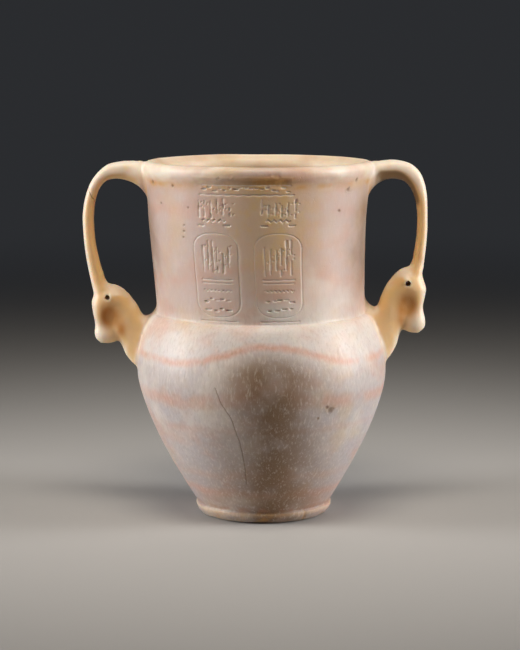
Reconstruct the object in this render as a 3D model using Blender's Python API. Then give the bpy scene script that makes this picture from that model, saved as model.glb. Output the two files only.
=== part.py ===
"""Canopic jar: an open two-handled vessel carved from one block of banded travertine.

The body is hollow and was turned by hand, so its axis wanders a little. Each handle leaves the
lip, bends down and ends in an animal's head with drilled eyes, whose neck grows out of the
shoulder. A band, two groups and two framed columns of shallow strokes are cut in the neck.

Units are metres and +Z is up. The origin is the middle of the flat underside. The carved front
faces -Y and +X points to the right handle as seen from the front.
"""

import math
from collections import namedtuple

import bmesh
import bpy

# Driving sizes of the vessel
HEIGHT = 0.300
BASE_RADIUS = 0.0530
FOOT_RADIUS = 0.0577
FOOT_HEIGHT = 0.0100
FOOT_GROOVE_RADIUS = 0.0558
BELLY_RADIUS = 0.1064
BELLY_HEIGHT = 0.1270
NECK_BASE_RADIUS = 0.0880
NECK_BASE_HEIGHT = 0.1720
NECK_TOP_RADIUS = 0.0945
LIP_RADIUS = 0.0968
LIP_THICKNESS = 0.0125
CREST_RADIUS = 0.0905
MOUTH_RADIUS = 0.0840

# Walls
NECK_WALL = 0.0090
BODY_WALL = 0.0110
FLOOR_THICKNESS = 0.0160
FLOOR_CORNER = 0.0140

# How full the curves are: 2 is an ellipse, more is squarer
BODY_FULLNESS = 1.52
SHOULDER_SLOPE_SHARE = 0.40
NECK_FLARE = 1.5

# The hand-turned axis wanders sideways by up to this much along X
AXIS_SHIFT = -0.0053
# Shares of the height, each with its share of the shift
AXIS_WANDER = ((0.0, 0.0), (0.41, 0.30), (0.60, 0.47), (0.72, 0.79), (0.84, 1.0), (1.0, 0.83))

# The front of the lip is worn and chipped away between these turns from the front
LIP_CHIP_START = math.radians(-33)
LIP_CHIP_END = math.radians(17)
LIP_CHIP_FADE = math.radians(5)
LIP_CHIP_DEPTH = 0.0024

# Handles: both share these, measured down from the top of the jar
HANDLE_CROWN = 0.0008
ARCH_THICKNESS = 0.0153
BEND_DROP = 0.0530
FILLET_DROP = 0.0420
HANDLE_DEPTH = 0.0150
ROOT_SPREAD = 0.0230
ARCH_FULLNESS = 2.4
FILLET_FULLNESS = 2.1

# Handles: what differs between the two hand-cut sides
LEFT_REACH = 0.1524
LEFT_BAR = 0.0093
LEFT_TOP_RUN = 0.0106
LEFT_CROWN_RUN = 0.0250
LEFT_SQUARENESS = 2.4
LEFT_LEAN = 0.0068
LEFT_SWELL = 0.0037
LEFT_BROW_HEIGHT = 0.1874
LEFT_HEAD_LENGTH = 0.0422
LEFT_EYE_DROP = 0.0022
LEFT_ROOT_TOP = 0.1670
LEFT_ROOT_FOOT = 0.1240
LEFT_CREASE_RUN = 0.0105

RIGHT_REACH = 0.1386
RIGHT_BAR = 0.0091
RIGHT_TOP_RUN = 0.0110
RIGHT_CROWN_RUN = 0.0205
RIGHT_SQUARENESS = 3.3
RIGHT_LEAN = 0.0030
RIGHT_SWELL = 0.0023
RIGHT_BROW_HEIGHT = 0.2021
RIGHT_HEAD_LENGTH = 0.0480
RIGHT_EYE_DROP = 0.0049
RIGHT_ROOT_TOP = 0.1745
RIGHT_ROOT_FOOT = 0.1288
RIGHT_CREASE_RUN = 0.0098

# Heads
NAPE_RISE = 0.0095
NAPE_FULLNESS = 0.52
NECK_DEPTH = 0.0220
THROAT_BULGE = 0.0022
EYE_INSET = 0.0110
EYE_DIAMETER = 0.0046
EYE_DEPTH = 0.0055

# Carving on the neck, placed by turns from the front and by height
STROKE_WIDTH = 0.0011
STROKE_DEPTH = 0.0007
PANEL_TURN = math.radians(-5.9)
PANEL_WIDTH = 0.0380
PANEL_GAP = 0.0126
PANEL_FOOT = 0.1748
PANEL_TOP = 0.2465
BAND_FOOT = 0.2795
BAND_HEIGHT = 0.0060
BAND_LENGTH = 0.0780
GROUP_FOOT = 0.2525
GROUP_HEIGHT = 0.0220

# Facets
COLUMNS = 60
SECTION_POINTS = 14
ARC_STEP = 0.0045

Handle = namedtuple(
    "Handle",
    "side reach bar top_run crown_run squareness lean swell brow_height head_length eye_drop "
    "root_top root_foot crease_run face",
)

# The head's outer and inner edge and its half depth from the brow to the lips, as shares of the
# head's length: outer edge out and down, inner edge in and down, half depth
LEFT_FACE = (
    (0.00, 0.00, 0.50, 0.02, 0.262),
    (0.032, 0.13, 0.53, 0.14, 0.288),
    (0.038, 0.22, 0.54, 0.26, 0.300),
    (0.015, 0.39, 0.53, 0.42, 0.270),
    (-0.015, 0.55, 0.52, 0.58, 0.215),
    (-0.022, 0.66, 0.51, 0.70, 0.195),
    (-0.008, 0.80, 0.505, 0.84, 0.205),
    (-0.040, 0.91, 0.50, 0.925, 0.180),
    (-0.120, 0.985, 0.42, 0.985, 0.115),
)
RIGHT_FACE = (
    (0.00, 0.00, 0.42, 0.02, 0.240),
    (0.048, 0.11, 0.46, 0.13, 0.262),
    (0.062, 0.21, 0.47, 0.24, 0.275),
    (0.045, 0.34, 0.46, 0.38, 0.250),
    (0.014, 0.50, 0.44, 0.54, 0.200),
    (0.022, 0.62, 0.41, 0.67, 0.180),
    (0.052, 0.76, 0.38, 0.80, 0.190),
    (0.040, 0.90, 0.36, 0.91, 0.165),
    (-0.050, 0.99, 0.30, 0.975, 0.105),
)

LEFT = Handle(
    -1, LEFT_REACH, LEFT_BAR, LEFT_TOP_RUN, LEFT_CROWN_RUN, LEFT_SQUARENESS, LEFT_LEAN,
    LEFT_SWELL, LEFT_BROW_HEIGHT, LEFT_HEAD_LENGTH, LEFT_EYE_DROP, LEFT_ROOT_TOP, LEFT_ROOT_FOOT,
    LEFT_CREASE_RUN, LEFT_FACE,
)
RIGHT = Handle(
    1, RIGHT_REACH, RIGHT_BAR, RIGHT_TOP_RUN, RIGHT_CROWN_RUN, RIGHT_SQUARENESS, RIGHT_LEAN,
    RIGHT_SWELL, RIGHT_BROW_HEIGHT, RIGHT_HEAD_LENGTH, RIGHT_EYE_DROP, RIGHT_ROOT_TOP, RIGHT_ROOT_FOOT,
    RIGHT_CREASE_RUN, RIGHT_FACE,
)


def blend(a, b, share):
    return a + (b - a) * share


def ease(share):
    share = min(max(share, 0.0), 1.0)
    return share * share * (3 - 2 * share)


def axis_x(z):
    """Where the hand-turned axis lies at this height."""
    share = min(max(z / HEIGHT, 0.0), 1.0)
    for (low, start), (high, end) in zip(AXIS_WANDER, AXIS_WANDER[1:]):
        if share <= high:
            return AXIS_SHIFT * blend(start, end, (share - low) / (high - low))
    return AXIS_SHIFT * AXIS_WANDER[-1][1]


def outer_radius(z):
    """Radius of the outside between the foot's groove and the underside of the lip."""
    if z <= BELLY_HEIGHT:
        share = max(0.0, (z - FOOT_HEIGHT) / (BELLY_HEIGHT - FOOT_HEIGHT))
        return blend(FOOT_GROOVE_RADIUS, BELLY_RADIUS, 1 - (1 - share) ** BODY_FULLNESS)
    if z <= NECK_BASE_HEIGHT:
        share = (z - BELLY_HEIGHT) / (NECK_BASE_HEIGHT - BELLY_HEIGHT)
        round_off = 1 - math.sqrt(max(0.0, 1 - share * share))
        drop = blend(round_off, share, SHOULDER_SLOPE_SHARE)
        return blend(BELLY_RADIUS, NECK_BASE_RADIUS, drop)
    share = (z - NECK_BASE_HEIGHT) / (HEIGHT - LIP_THICKNESS - NECK_BASE_HEIGHT)
    return blend(NECK_BASE_RADIUS, NECK_TOP_RADIUS, min(share, 1.0) ** NECK_FLARE)


def inner_radius(z):
    """Radius of the hollow between the floor's corner and the mouth."""
    if z <= NECK_BASE_HEIGHT:
        share = ease((z - BELLY_HEIGHT) / (NECK_BASE_HEIGHT - BELLY_HEIGHT))
        return outer_radius(z) - blend(BODY_WALL, NECK_WALL, share)
    share = (z - NECK_BASE_HEIGHT) / (HEIGHT - LIP_THICKNESS - NECK_BASE_HEIGHT)
    return blend(NECK_BASE_RADIUS - NECK_WALL, MOUTH_RADIUS, min(share, 1.0))


def lip_chip(turn):
    """How much of the lip is lost at this turn from the front, from 0 to 1."""
    rise = ease((turn - LIP_CHIP_START) / LIP_CHIP_FADE)
    fall = ease((LIP_CHIP_END - turn) / LIP_CHIP_FADE)
    return min(rise, fall)


def vessel_profile(turn):
    """Radius and height from the underside over the lip and down to the floor, at one turn."""
    profile = [(BASE_RADIUS, 0.0)]
    for share in (0.3, 0.62, 0.86):
        foot_z = FOOT_HEIGHT * share
        foot_r = blend(BASE_RADIUS, FOOT_RADIUS, math.sin(math.pi * min(share / 0.86, 1.0) / 2))
        profile.append((foot_r, foot_z))
    profile.append((FOOT_GROOVE_RADIUS, FOOT_HEIGHT))
    for share in (0.06, 0.17, 0.31, 0.46, 0.61, 0.75, 0.88, 1.0):
        body_z = blend(FOOT_HEIGHT, BELLY_HEIGHT, share)
        profile.append((outer_radius(body_z), body_z))
    for share in (0.22, 0.45, 0.66, 0.82, 0.93, 0.985, 1.0):
        shoulder_z = blend(BELLY_HEIGHT, NECK_BASE_HEIGHT, share)
        profile.append((outer_radius(shoulder_z), shoulder_z))
    lip_foot = HEIGHT - LIP_THICKNESS
    for share in (0.33, 0.66, 1.0):
        neck_z = blend(NECK_BASE_HEIGHT, lip_foot, share)
        profile.append((outer_radius(neck_z), neck_z))
    loss = LIP_CHIP_DEPTH * lip_chip(turn)
    for share in (0.12, 0.45, 0.75, 1.0):
        angle = 0.5 * math.pi * share
        lip_r = blend(CREST_RADIUS, LIP_RADIUS, math.cos(angle) ** 0.8) - loss * math.cos(angle)
        lip_z = blend(lip_foot + 0.18 * LIP_THICKNESS, HEIGHT, math.sin(angle)) - 0.4 * loss * share
        profile.append((lip_r, lip_z))
    for share in (0.5, 1.0):
        angle = 0.5 * math.pi * share
        mouth_r = blend(MOUTH_RADIUS, CREST_RADIUS, math.cos(angle))
        mouth_z = HEIGHT - (CREST_RADIUS - MOUTH_RADIUS) * 0.8 * (1 - math.cos(angle))
        profile.append((mouth_r, mouth_z))
    for share in (0.0, 0.5, 1.0):
        neck_z = blend(lip_foot, NECK_BASE_HEIGHT, share)
        profile.append((inner_radius(neck_z), neck_z))
    floor_edge = FLOOR_THICKNESS + FLOOR_CORNER
    for share in (0.12, 0.3, 0.5, 0.68, 0.84, 1.0):
        hollow_z = blend(NECK_BASE_HEIGHT, floor_edge, share)
        profile.append((inner_radius(hollow_z), hollow_z))
    for share in (0.5, 1.0):
        angle = 0.5 * math.pi * share
        corner_r = inner_radius(floor_edge) - FLOOR_CORNER * (1 - math.cos(angle))
        profile.append((corner_r, floor_edge - FLOOR_CORNER * math.sin(angle)))
    return profile


def ring_mesh(name, rings):
    """Closed mesh through rings of points, with a flat face at each end."""
    build = bmesh.new()
    loops = [[build.verts.new(point) for point in ring] for ring in rings]
    for lower, upper in zip(loops, loops[1:]):
        count = len(lower)
        for k in range(count):
            following = (k + 1) % count
            build.faces.new((lower[k], lower[following], upper[following], upper[k]))
    build.faces.new(loops[0][::-1])
    build.faces.new(loops[-1])
    bmesh.ops.recalc_face_normals(build, faces=build.faces)
    mesh = bpy.data.meshes.new(name)
    build.to_mesh(mesh)
    build.free()
    return mesh


def add_object(name, mesh, material, cutter=False):
    mesh.materials.append(material)
    mesh.shade_smooth()
    mesh.set_sharp_from_angle(angle=math.radians(32))
    placed = bpy.data.objects.new(name, mesh)
    bpy.context.scene.collection.objects.link(placed)
    if cutter:
        placed.hide_render = True
        placed.display_type = "WIRE"
    return placed


def boolean(target, tool, operation, name):
    step = target.modifiers.new(name, "BOOLEAN")
    step.operation = operation
    step.solver = "EXACT"
    step.object = tool


def vessel_rings():
    turns = [2 * math.pi * k / COLUMNS for k in range(COLUMNS)]
    columns = []
    for turn in turns:
        from_front = (turn + math.pi) % (2 * math.pi) - math.pi
        columns.append(
            [
                (axis_x(z) + r * math.sin(turn), -r * math.cos(turn), z)
                for r, z in vessel_profile(from_front)
            ]
        )
    return [list(ring) for ring in zip(*columns)]


def core_rings():
    """Solid of the middle of the wall, which stops the handles halfway into it."""
    rings = []
    heights = [blend(FLOOR_THICKNESS, BELLY_HEIGHT, k / 6) for k in range(7)]
    heights += [blend(BELLY_HEIGHT, NECK_BASE_HEIGHT, k / 6) for k in range(1, 7)]
    heights += [blend(NECK_BASE_HEIGHT, HEIGHT - LIP_THICKNESS, k / 3) for k in range(1, 4)]
    heights.append(HEIGHT + 5 * HANDLE_CROWN)
    for z in heights:
        r = 0.5 * (outer_radius(z) + inner_radius(z))
        rings.append(
            [
                (
                    axis_x(z) + r * math.sin(2 * math.pi * k / COLUMNS),
                    -r * math.cos(2 * math.pi * k / COLUMNS),
                    z,
                )
                for k in range(COLUMNS)
            ]
        )
    return rings


def quarter(centre, reach, rise, fullness, share):
    """Point on a quarter of a superellipse: share 0 is its highest point, share 1 its outermost."""
    turn = 0.5 * math.pi * share
    out = reach * math.sin(turn) ** (2 / fullness)
    up = rise * max(0.0, math.cos(turn)) ** (2 / fullness)
    return (centre[0] + out, centre[1] + up)


def bar_ribs(handle):
    """Outer edge, inner edge and half depth along the bar, from inside the lip to the head."""
    wall_x = NECK_TOP_RADIUS + handle.side * axis_x(HEIGHT - FILLET_DROP)
    top = HEIGHT + HANDLE_CROWN
    arch_top = HEIGHT - ARCH_THICKNESS
    bend_z = HEIGHT - BEND_DROP
    fillet_z = HEIGHT - FILLET_DROP
    run_x = wall_x + handle.top_run
    crown_x = wall_x + handle.crown_run
    half_depth = 0.5 * HANDLE_DEPTH
    ribs = []
    buried_x = wall_x - 0.75 * NECK_WALL
    buried_top = (buried_x, HEIGHT - 1.5 * HANDLE_CROWN)
    buried_foot = (buried_x, fillet_z - 0.25 * FILLET_DROP)
    ribs.append((buried_top, buried_foot, 0.5 * ROOT_SPREAD))
    for share in (0.86, 0.62, 0.40, 0.20):
        inner = quarter((crown_x, fillet_z), wall_x - crown_x, arch_top - fillet_z, FILLET_FULLNESS, share)
        outer_x = blend(run_x, wall_x - 0.3 * NECK_WALL, share)
        outer_z = blend(top, HEIGHT - HANDLE_CROWN, share * share)
        ribs.append(((outer_x, outer_z), inner, blend(half_depth, 0.5 * ROOT_SPREAD, share ** 2)))
    bend_reach = handle.reach - run_x
    crown_ratio = (crown_x + 0.2 * ARCH_THICKNESS - run_x) / bend_reach
    crown_share = math.asin(crown_ratio ** (0.5 * handle.squareness)) / (0.5 * math.pi)
    for share in (0.0, 0.2, 0.4, 0.58, 0.76, 0.9, 1.0):
        outer_share = blend(crown_share, 1.0, share)
        outer = quarter((run_x, bend_z), bend_reach, top - bend_z, handle.squareness, outer_share)
        inner_reach = handle.reach - handle.bar - crown_x
        inner = quarter((crown_x, bend_z), inner_reach, arch_top - bend_z, ARCH_FULLNESS, share)
        ribs.append((outer, inner, half_depth))
    poll_z = handle.brow_height + NAPE_RISE
    for share in (0.3, 0.6, 0.85, 1.0):
        bar_z = blend(bend_z, poll_z, share)
        outer_x = handle.reach - handle.lean * share ** 1.6
        inner_x = handle.reach - handle.bar - (handle.lean + handle.swell) * share ** 2
        ribs.append(((outer_x, bar_z), (inner_x, bar_z), half_depth * (1 + 0.15 * share ** 3)))
    return ribs


def brow_point(handle):
    return (handle.reach - 1.28 * handle.lean, handle.brow_height)


def head_ribs(handle):
    """Edges and half depth of the face, from the brow to the lips."""
    brow_x, brow_z = brow_point(handle)
    size = handle.head_length
    return [
        (
            (brow_x + out * size, brow_z - down * size),
            (brow_x - inward * size, brow_z - inner_down * size),
            depth * size,
        )
        for out, down, inward, inner_down, depth in handle.face
    ]


def neck_ribs(handle):
    """Nape, throat and half depth from inside the head to inside the wall of the body."""
    brow_x, brow_z = brow_point(handle)
    size = handle.head_length
    poll = (handle.reach - handle.bar - handle.lean - handle.swell, brow_z + NAPE_RISE)
    jaw = (brow_x - handle.face[-2][2] * size, brow_z - handle.face[-2][3] * size)
    crease_x = NECK_BASE_RADIUS + handle.crease_run + handle.side * axis_x(NECK_BASE_HEIGHT)
    root_top = (crease_x, handle.root_top)
    root_foot = (outer_radius(handle.root_foot) + handle.side * axis_x(handle.root_foot), handle.root_foot)
    half_depth = 0.5 * NECK_DEPTH
    span_x = poll[0] - root_top[0]
    span_z = poll[1] - root_top[1]
    near = (poll[0] - NAPE_FULLNESS * span_x, poll[1])
    far = (root_top[0] + 0.24 * span_x, root_top[1] + 0.85 * NAPE_FULLNESS * span_z)
    skull_top = (poll[0] + 0.10 * size, brow_z + 0.17 * size)
    skull_foot = (jaw[0] + 0.25 * size, jaw[1] + 0.25 * size)
    ribs = [(skull_top, skull_foot, 0.6 * half_depth)]
    for share in (0.08, 0.25, 0.42, 0.6, 0.8, 1.0):
        rest = 1 - share
        weights = (rest ** 3, 3 * rest * rest * share, 3 * rest * share * share, share ** 3)
        nape = tuple(
            sum(weight * point[axis] for weight, point in zip(weights, (poll, near, far, root_top)))
            for axis in (0, 1)
        )
        bulge = THROAT_BULGE * math.sin(math.pi * share)
        throat_x = blend(jaw[0], root_foot[0], share) + 0.8 * bulge
        throat = (throat_x, blend(jaw[1], root_foot[1], share) - 0.6 * bulge)
        ribs.append((nape, throat, half_depth * (1 + 0.1 * share ** 3)))
    buried = 0.9 * BODY_WALL
    ribs.append(
        (
            (root_top[0] - buried, root_top[1] - buried),
            (root_foot[0] - buried, root_foot[1] - 0.6 * buried),
            1.1 * half_depth,
        )
    )
    return ribs


def loft(name, handle, ribs, fullness):
    """Closed mesh through oval sections, each spanning a rib's edges and its depth."""
    rings = []
    for outer, inner, half_depth in ribs:
        ring = []
        for k in range(SECTION_POINTS):
            turn = 2 * math.pi * (k + 0.5) / SECTION_POINTS
            across = math.copysign(abs(math.cos(turn)) ** (2 / fullness), math.cos(turn))
            deep = math.copysign(abs(math.sin(turn)) ** (2 / fullness), math.sin(turn))
            x = 0.5 * (outer[0] + inner[0]) + 0.5 * (outer[0] - inner[0]) * across
            z = 0.5 * (outer[1] + inner[1]) + 0.5 * (outer[1] - inner[1]) * across
            ring.append((handle.side * x, half_depth * deep, z))
        rings.append(ring)
    return ring_mesh(name, rings)


def add_handle(name, handle, core, material):
    bar = loft(name, handle, bar_ribs(handle) + head_ribs(handle), 2.3)
    bar = add_object(name, bar, material, cutter=True)
    neck = loft(name + "_neck", handle, neck_ribs(handle), 2.2)
    neck = add_object(name + "_neck", neck, material, cutter=True)
    boolean(bar, neck, "UNION", "neck")
    boolean(bar, core, "DIFFERENCE", "wall")
    return bar


def add_eye_drills(material):
    """One pin for each eye, which stops short of the head's middle."""
    build = bmesh.new()
    sides = 10
    for handle in (LEFT, RIGHT):
        brow_x, brow_z = brow_point(handle)
        eye_x = handle.side * (brow_x - EYE_INSET)
        eye_z = brow_z - handle.eye_drop
        surface = handle.face[0][4] * handle.head_length
        for face_side in (-1, 1):
            loops = []
            for y in (surface - EYE_DEPTH, surface + EYE_DEPTH):
                circle = [
                    (
                        eye_x + 0.5 * EYE_DIAMETER * math.cos(2 * math.pi * k / sides),
                        face_side * y,
                        eye_z + 0.5 * EYE_DIAMETER * math.sin(2 * math.pi * k / sides),
                    )
                    for k in range(sides)
                ]
                loops.append([build.verts.new(point) for point in circle])
            for k in range(sides):
                following = (k + 1) % sides
                build.faces.new((loops[0][k], loops[0][following], loops[1][following], loops[1][k]))
            build.faces.new(loops[0][::-1])
            build.faces.new(loops[1])
    bmesh.ops.recalc_face_normals(build, faces=build.faces)
    mesh = bpy.data.meshes.new("eye_drills")
    build.to_mesh(mesh)
    build.free()
    return add_object("eye_drills", mesh, material, cutter=True)


def on_neck(turn, z, rise):
    """Point at a turn from the front and a height, so far above the neck's surface."""
    r = outer_radius(z) + rise
    return (axis_x(z) + r * math.sin(turn), -r * math.cos(turn), z)


def add_groove(build, path, closed=False):
    """Square groove along a path of turns and heights on the neck."""
    count = len(path)
    loops = []
    for k, (turn, z) in enumerate(path):
        before = path[(k - 1) % count] if closed or k else path[0]
        after = path[(k + 1) % count] if closed or k < count - 1 else path[-1]
        along = (after[0] - before[0]) * outer_radius(z)
        up = after[1] - before[1]
        length = math.hypot(along, up)
        side_turn = -up / length * 0.5 * STROKE_WIDTH / outer_radius(z)
        side_z = along / length * 0.5 * STROKE_WIDTH
        corners = []
        for sign, rise in ((-1, -STROKE_DEPTH), (1, -STROKE_DEPTH), (1, STROKE_DEPTH), (-1, STROKE_DEPTH)):
            corners.append(build.verts.new(on_neck(turn + sign * side_turn, z + sign * side_z, rise)))
        loops.append(corners)
    pairs = list(zip(loops, loops[1:]))
    if closed:
        pairs.append((loops[-1], loops[0]))
    for near, far in pairs:
        for k in range(4):
            following = (k + 1) % 4
            build.faces.new((near[k], near[following], far[following], far[k]))
    if not closed:
        build.faces.new(loops[0][::-1])
        build.faces.new(loops[-1])


def line(start, end):
    """Path between two places on the neck, with a point wherever the surface turns enough."""
    radius = outer_radius(0.5 * (start[1] + end[1]))
    steps = max(1, round(abs(end[0] - start[0]) * radius / ARC_STEP))
    shares = [k / steps for k in range(steps + 1)]
    return [(blend(start[0], end[0], share), blend(start[1], end[1], share)) for share in shares]


def frame_path(middle):
    """Tall rounded frame around one column of strokes."""
    half_turn = 0.5 * PANEL_WIDTH / NECK_BASE_RADIUS
    half_height = 0.5 * (PANEL_TOP - PANEL_FOOT) - 1.5 * STROKE_WIDTH
    centre_z = 0.5 * (PANEL_TOP + PANEL_FOOT) + 1.5 * STROKE_WIDTH
    points = 22
    path = []
    for k in range(points):
        turn = 2 * math.pi * k / points
        across = math.copysign(abs(math.cos(turn)) ** 0.55, math.cos(turn))
        upward = math.copysign(abs(math.sin(turn)) ** 0.75, math.sin(turn))
        path.append((middle + half_turn * across, centre_z + half_height * upward))
    return path


def stroke_rows(middle, foot, height, width, rows):
    """Rows of short strokes in a field. Each row gives its share of the height and its strokes."""
    radius = outer_radius(foot + 0.5 * height)
    paths = []
    for low, high, strokes in rows:
        for left, right, tilt in strokes:
            start = (middle + left * width / radius, foot + blend(low, high, 0.5 - tilt) * height)
            end = (middle + right * width / radius, foot + blend(low, high, 0.5 + tilt) * height)
            paths.append(line(start, end))
    return paths


# Each row: its foot and top as shares of the field's height, then strokes from a left to a right
# share of the field's width with a tilt: 0.5 runs from the row's foot to its top, 0 lies level
PANEL_ROWS = (
    (
        0.56,
        0.90,
        (
            (-0.28, -0.30, 0.5),
            (-0.20, -0.17, 0.36),
            (-0.06, -0.09, 0.5),
            (0.05, 0.08, 0.42),
            (0.17, 0.13, 0.5),
            (0.27, 0.29, 0.34),
        ),
    ),
    (0.47, 0.47, ((-0.34, 0.34, 0.0),)),
    (0.36, 0.42, ((-0.30, -0.16, 0.3), (-0.08, 0.06, -0.3), (0.14, 0.30, 0.3))),
    (
        0.12,
        0.30,
        (
            (-0.28, -0.24, 0.5),
            (-0.15, -0.13, 0.3),
            (-0.03, -0.06, 0.45),
            (0.07, 0.10, 0.5),
            (0.18, 0.17, 0.3),
            (0.27, 0.25, 0.45),
        ),
    ),
)
GROUP_ROWS = (
    (0.10, 0.82, ((-0.42, -0.38, 0.3), (-0.20, -0.12, 0.5), (0.02, 0.14, 0.45), (0.34, 0.42, 0.4))),
    (0.86, 0.98, ((-0.46, -0.26, 0.3), (0.04, 0.30, -0.3))),
    (0.00, 0.04, ((-0.08, 0.26, 0.4),)),
)
BAND_STROKES = 16


def add_carving(material):
    """Band, two groups and two framed columns of strokes, joined in one cutter."""
    build = bmesh.new()
    offset = 0.5 * (PANEL_WIDTH + PANEL_GAP) / NECK_BASE_RADIUS
    for side in (-1, 1):
        middle = PANEL_TURN + side * offset
        add_groove(build, frame_path(middle), closed=True)
        half_turn = 0.42 * PANEL_WIDTH / NECK_BASE_RADIUS
        add_groove(build, line((middle - half_turn, PANEL_FOOT), (middle + half_turn, PANEL_FOOT)))
        for path in stroke_rows(middle, PANEL_FOOT, PANEL_TOP - PANEL_FOOT, PANEL_WIDTH, PANEL_ROWS):
            add_groove(build, path)
        for path in stroke_rows(middle, GROUP_FOOT, GROUP_HEIGHT, PANEL_WIDTH, GROUP_ROWS):
            add_groove(build, path)
    half_band = 0.5 * BAND_LENGTH / NECK_TOP_RADIUS
    below = BAND_FOOT - 1.5 * STROKE_WIDTH
    add_groove(build, line((PANEL_TURN - half_band, below), (PANEL_TURN + half_band, below)))
    for k in range(BAND_STROKES):
        turn = PANEL_TURN + half_band * (2 * (k + 0.5) / BAND_STROKES - 1)
        tilt = 0.35 * half_band / BAND_STROKES * (-1) ** k
        add_groove(build, [(turn - tilt, BAND_FOOT), (turn + tilt, BAND_FOOT + BAND_HEIGHT)])
    bmesh.ops.recalc_face_normals(build, faces=build.faces)
    mesh = bpy.data.meshes.new("carving")
    build.to_mesh(mesh)
    build.free()
    return add_object("carving", mesh, material, cutter=True)


def make_material():
    material = bpy.data.materials.new("travertine")
    material.use_nodes = True
    shader = material.node_tree.nodes["Principled BSDF"]
    shader.inputs["Base Color"].default_value = (0.72, 0.53, 0.40, 1.0)
    shader.inputs["Roughness"].default_value = 0.42
    shader.inputs["Metallic"].default_value = 0.0
    return material


def main():
    for old in list(bpy.data.objects):
        bpy.data.objects.remove(old)
    material = make_material()
    jar = add_object("jar", ring_mesh("jar", vessel_rings()), material)
    core = add_object("wall_core", ring_mesh("wall_core", core_rings()), material, cutter=True)
    for name, handle in (("left_handle", LEFT), ("right_handle", RIGHT)):
        boolean(jar, add_handle(name, handle, core, material), "UNION", name)
    boolean(jar, add_eye_drills(material), "DIFFERENCE", "eyes")
    boolean(jar, add_carving(material), "DIFFERENCE", "carving")


main()
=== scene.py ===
"""Looks of the canopic jar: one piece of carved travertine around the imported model.

The piece repeats the named sizes of the CAD model, in metres and in the same frame, except where
a comment says otherwise. Its mesh is finer: the junctions are rounded, the carving is cut in, and
the wear and the chips are real shape. Colour, veins and grain come from one procedural material.
"""

import math
from collections import namedtuple

import bmesh
import bpy
import numpy as np
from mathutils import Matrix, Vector, kdtree


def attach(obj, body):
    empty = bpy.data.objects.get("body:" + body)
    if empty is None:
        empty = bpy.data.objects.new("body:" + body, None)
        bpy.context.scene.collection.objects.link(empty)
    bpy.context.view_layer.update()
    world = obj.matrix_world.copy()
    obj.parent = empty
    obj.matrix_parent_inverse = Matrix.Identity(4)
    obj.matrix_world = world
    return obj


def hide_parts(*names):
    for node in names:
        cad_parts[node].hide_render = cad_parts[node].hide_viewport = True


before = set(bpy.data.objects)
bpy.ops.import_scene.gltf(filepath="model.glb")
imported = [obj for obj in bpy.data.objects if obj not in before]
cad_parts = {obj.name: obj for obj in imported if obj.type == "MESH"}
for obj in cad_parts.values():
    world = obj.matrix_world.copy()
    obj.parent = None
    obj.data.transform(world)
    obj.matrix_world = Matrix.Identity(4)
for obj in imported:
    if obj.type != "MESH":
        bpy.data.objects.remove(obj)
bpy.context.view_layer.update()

# Sizes of the vessel, as in the CAD model
HEIGHT = 0.300
BASE_RADIUS = 0.0530
FOOT_RADIUS = 0.0577
FOOT_HEIGHT = 0.0100
FOOT_GROOVE_RADIUS = 0.0558
BELLY_RADIUS = 0.1064
BELLY_HEIGHT = 0.1270
NECK_BASE_RADIUS = 0.0880
NECK_BASE_HEIGHT = 0.1720
NECK_TOP_RADIUS = 0.0945
LIP_RADIUS = 0.0968
LIP_THICKNESS = 0.0125
CREST_RADIUS = 0.0905
MOUTH_RADIUS = 0.0840
NECK_WALL = 0.0090
BODY_WALL = 0.0110
FLOOR_THICKNESS = 0.0160
FLOOR_CORNER = 0.0140
BODY_FULLNESS = 1.52
SHOULDER_SLOPE_SHARE = 0.40
NECK_FLARE = 1.5
AXIS_SHIFT = -0.0053
AXIS_WANDER = ((0.0, 0.0), (0.41, 0.30), (0.60, 0.47), (0.72, 0.79), (0.84, 1.0), (1.0, 0.83))
LIP_CHIP_START = math.radians(-33)
LIP_CHIP_END = math.radians(17)
LIP_CHIP_FADE = math.radians(5)
LIP_CHIP_DEPTH = 0.0024
LIP_FOOT = HEIGHT - LIP_THICKNESS

# Sizes that both handles share, as in the CAD model
HANDLE_CROWN = 0.0008
ARCH_THICKNESS = 0.0153
BEND_DROP = 0.0530
FILLET_DROP = 0.0420
HANDLE_DEPTH = 0.0150
ROOT_SPREAD = 0.0230
ARCH_FULLNESS = 2.4
FILLET_FULLNESS = 2.1
NAPE_RISE = 0.0095
NAPE_FULLNESS = 0.52
NECK_DEPTH = 0.0220
THROAT_BULGE = 0.0022
EYE_DIAMETER = 0.0046
EYE_DEPTH = 0.0055

# Forms that the CAD model doesn't have: the belly's corner is softened over this height, the
# handles' fillets sink into the wall, webs fill the corners at the handles' feet, the lower
# front of the right arch is cut back, the cheeks are hollow and the hand-turned skin is uneven
BELLY_SOFT = 0.012
FILLET_SINK = 0.0012
WEB_FLOOR = 0.0012
WEB_RISE = 0.0105
FACET_HEIGHT = 0.0066
FACET_DEPTH = 0.0030
CHEEK_DEPTH = 0.0017
UNEVEN = ((0.00035, 0.045, 51), (0.00016, 0.017, 52), (0.00005, 0.0045, 53))

# Carving on the neck
STROKE_WIDTH = 0.0011
STROKE_DEPTH = 0.0007
PANEL_TURN = math.radians(-5.9)
PANEL_WIDTH = 0.0380
PANEL_GAP = 0.0126
PANEL_FOOT = 0.1748
PANEL_TOP = 0.2465
BAND_FOOT = 0.2795
BAND_HEIGHT = 0.0060
BAND_LENGTH = 0.0780
FRAME_CAP = 0.0135
GROUP_FOOT = 0.2525
GROUP_HEIGHT = 0.0220

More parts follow.
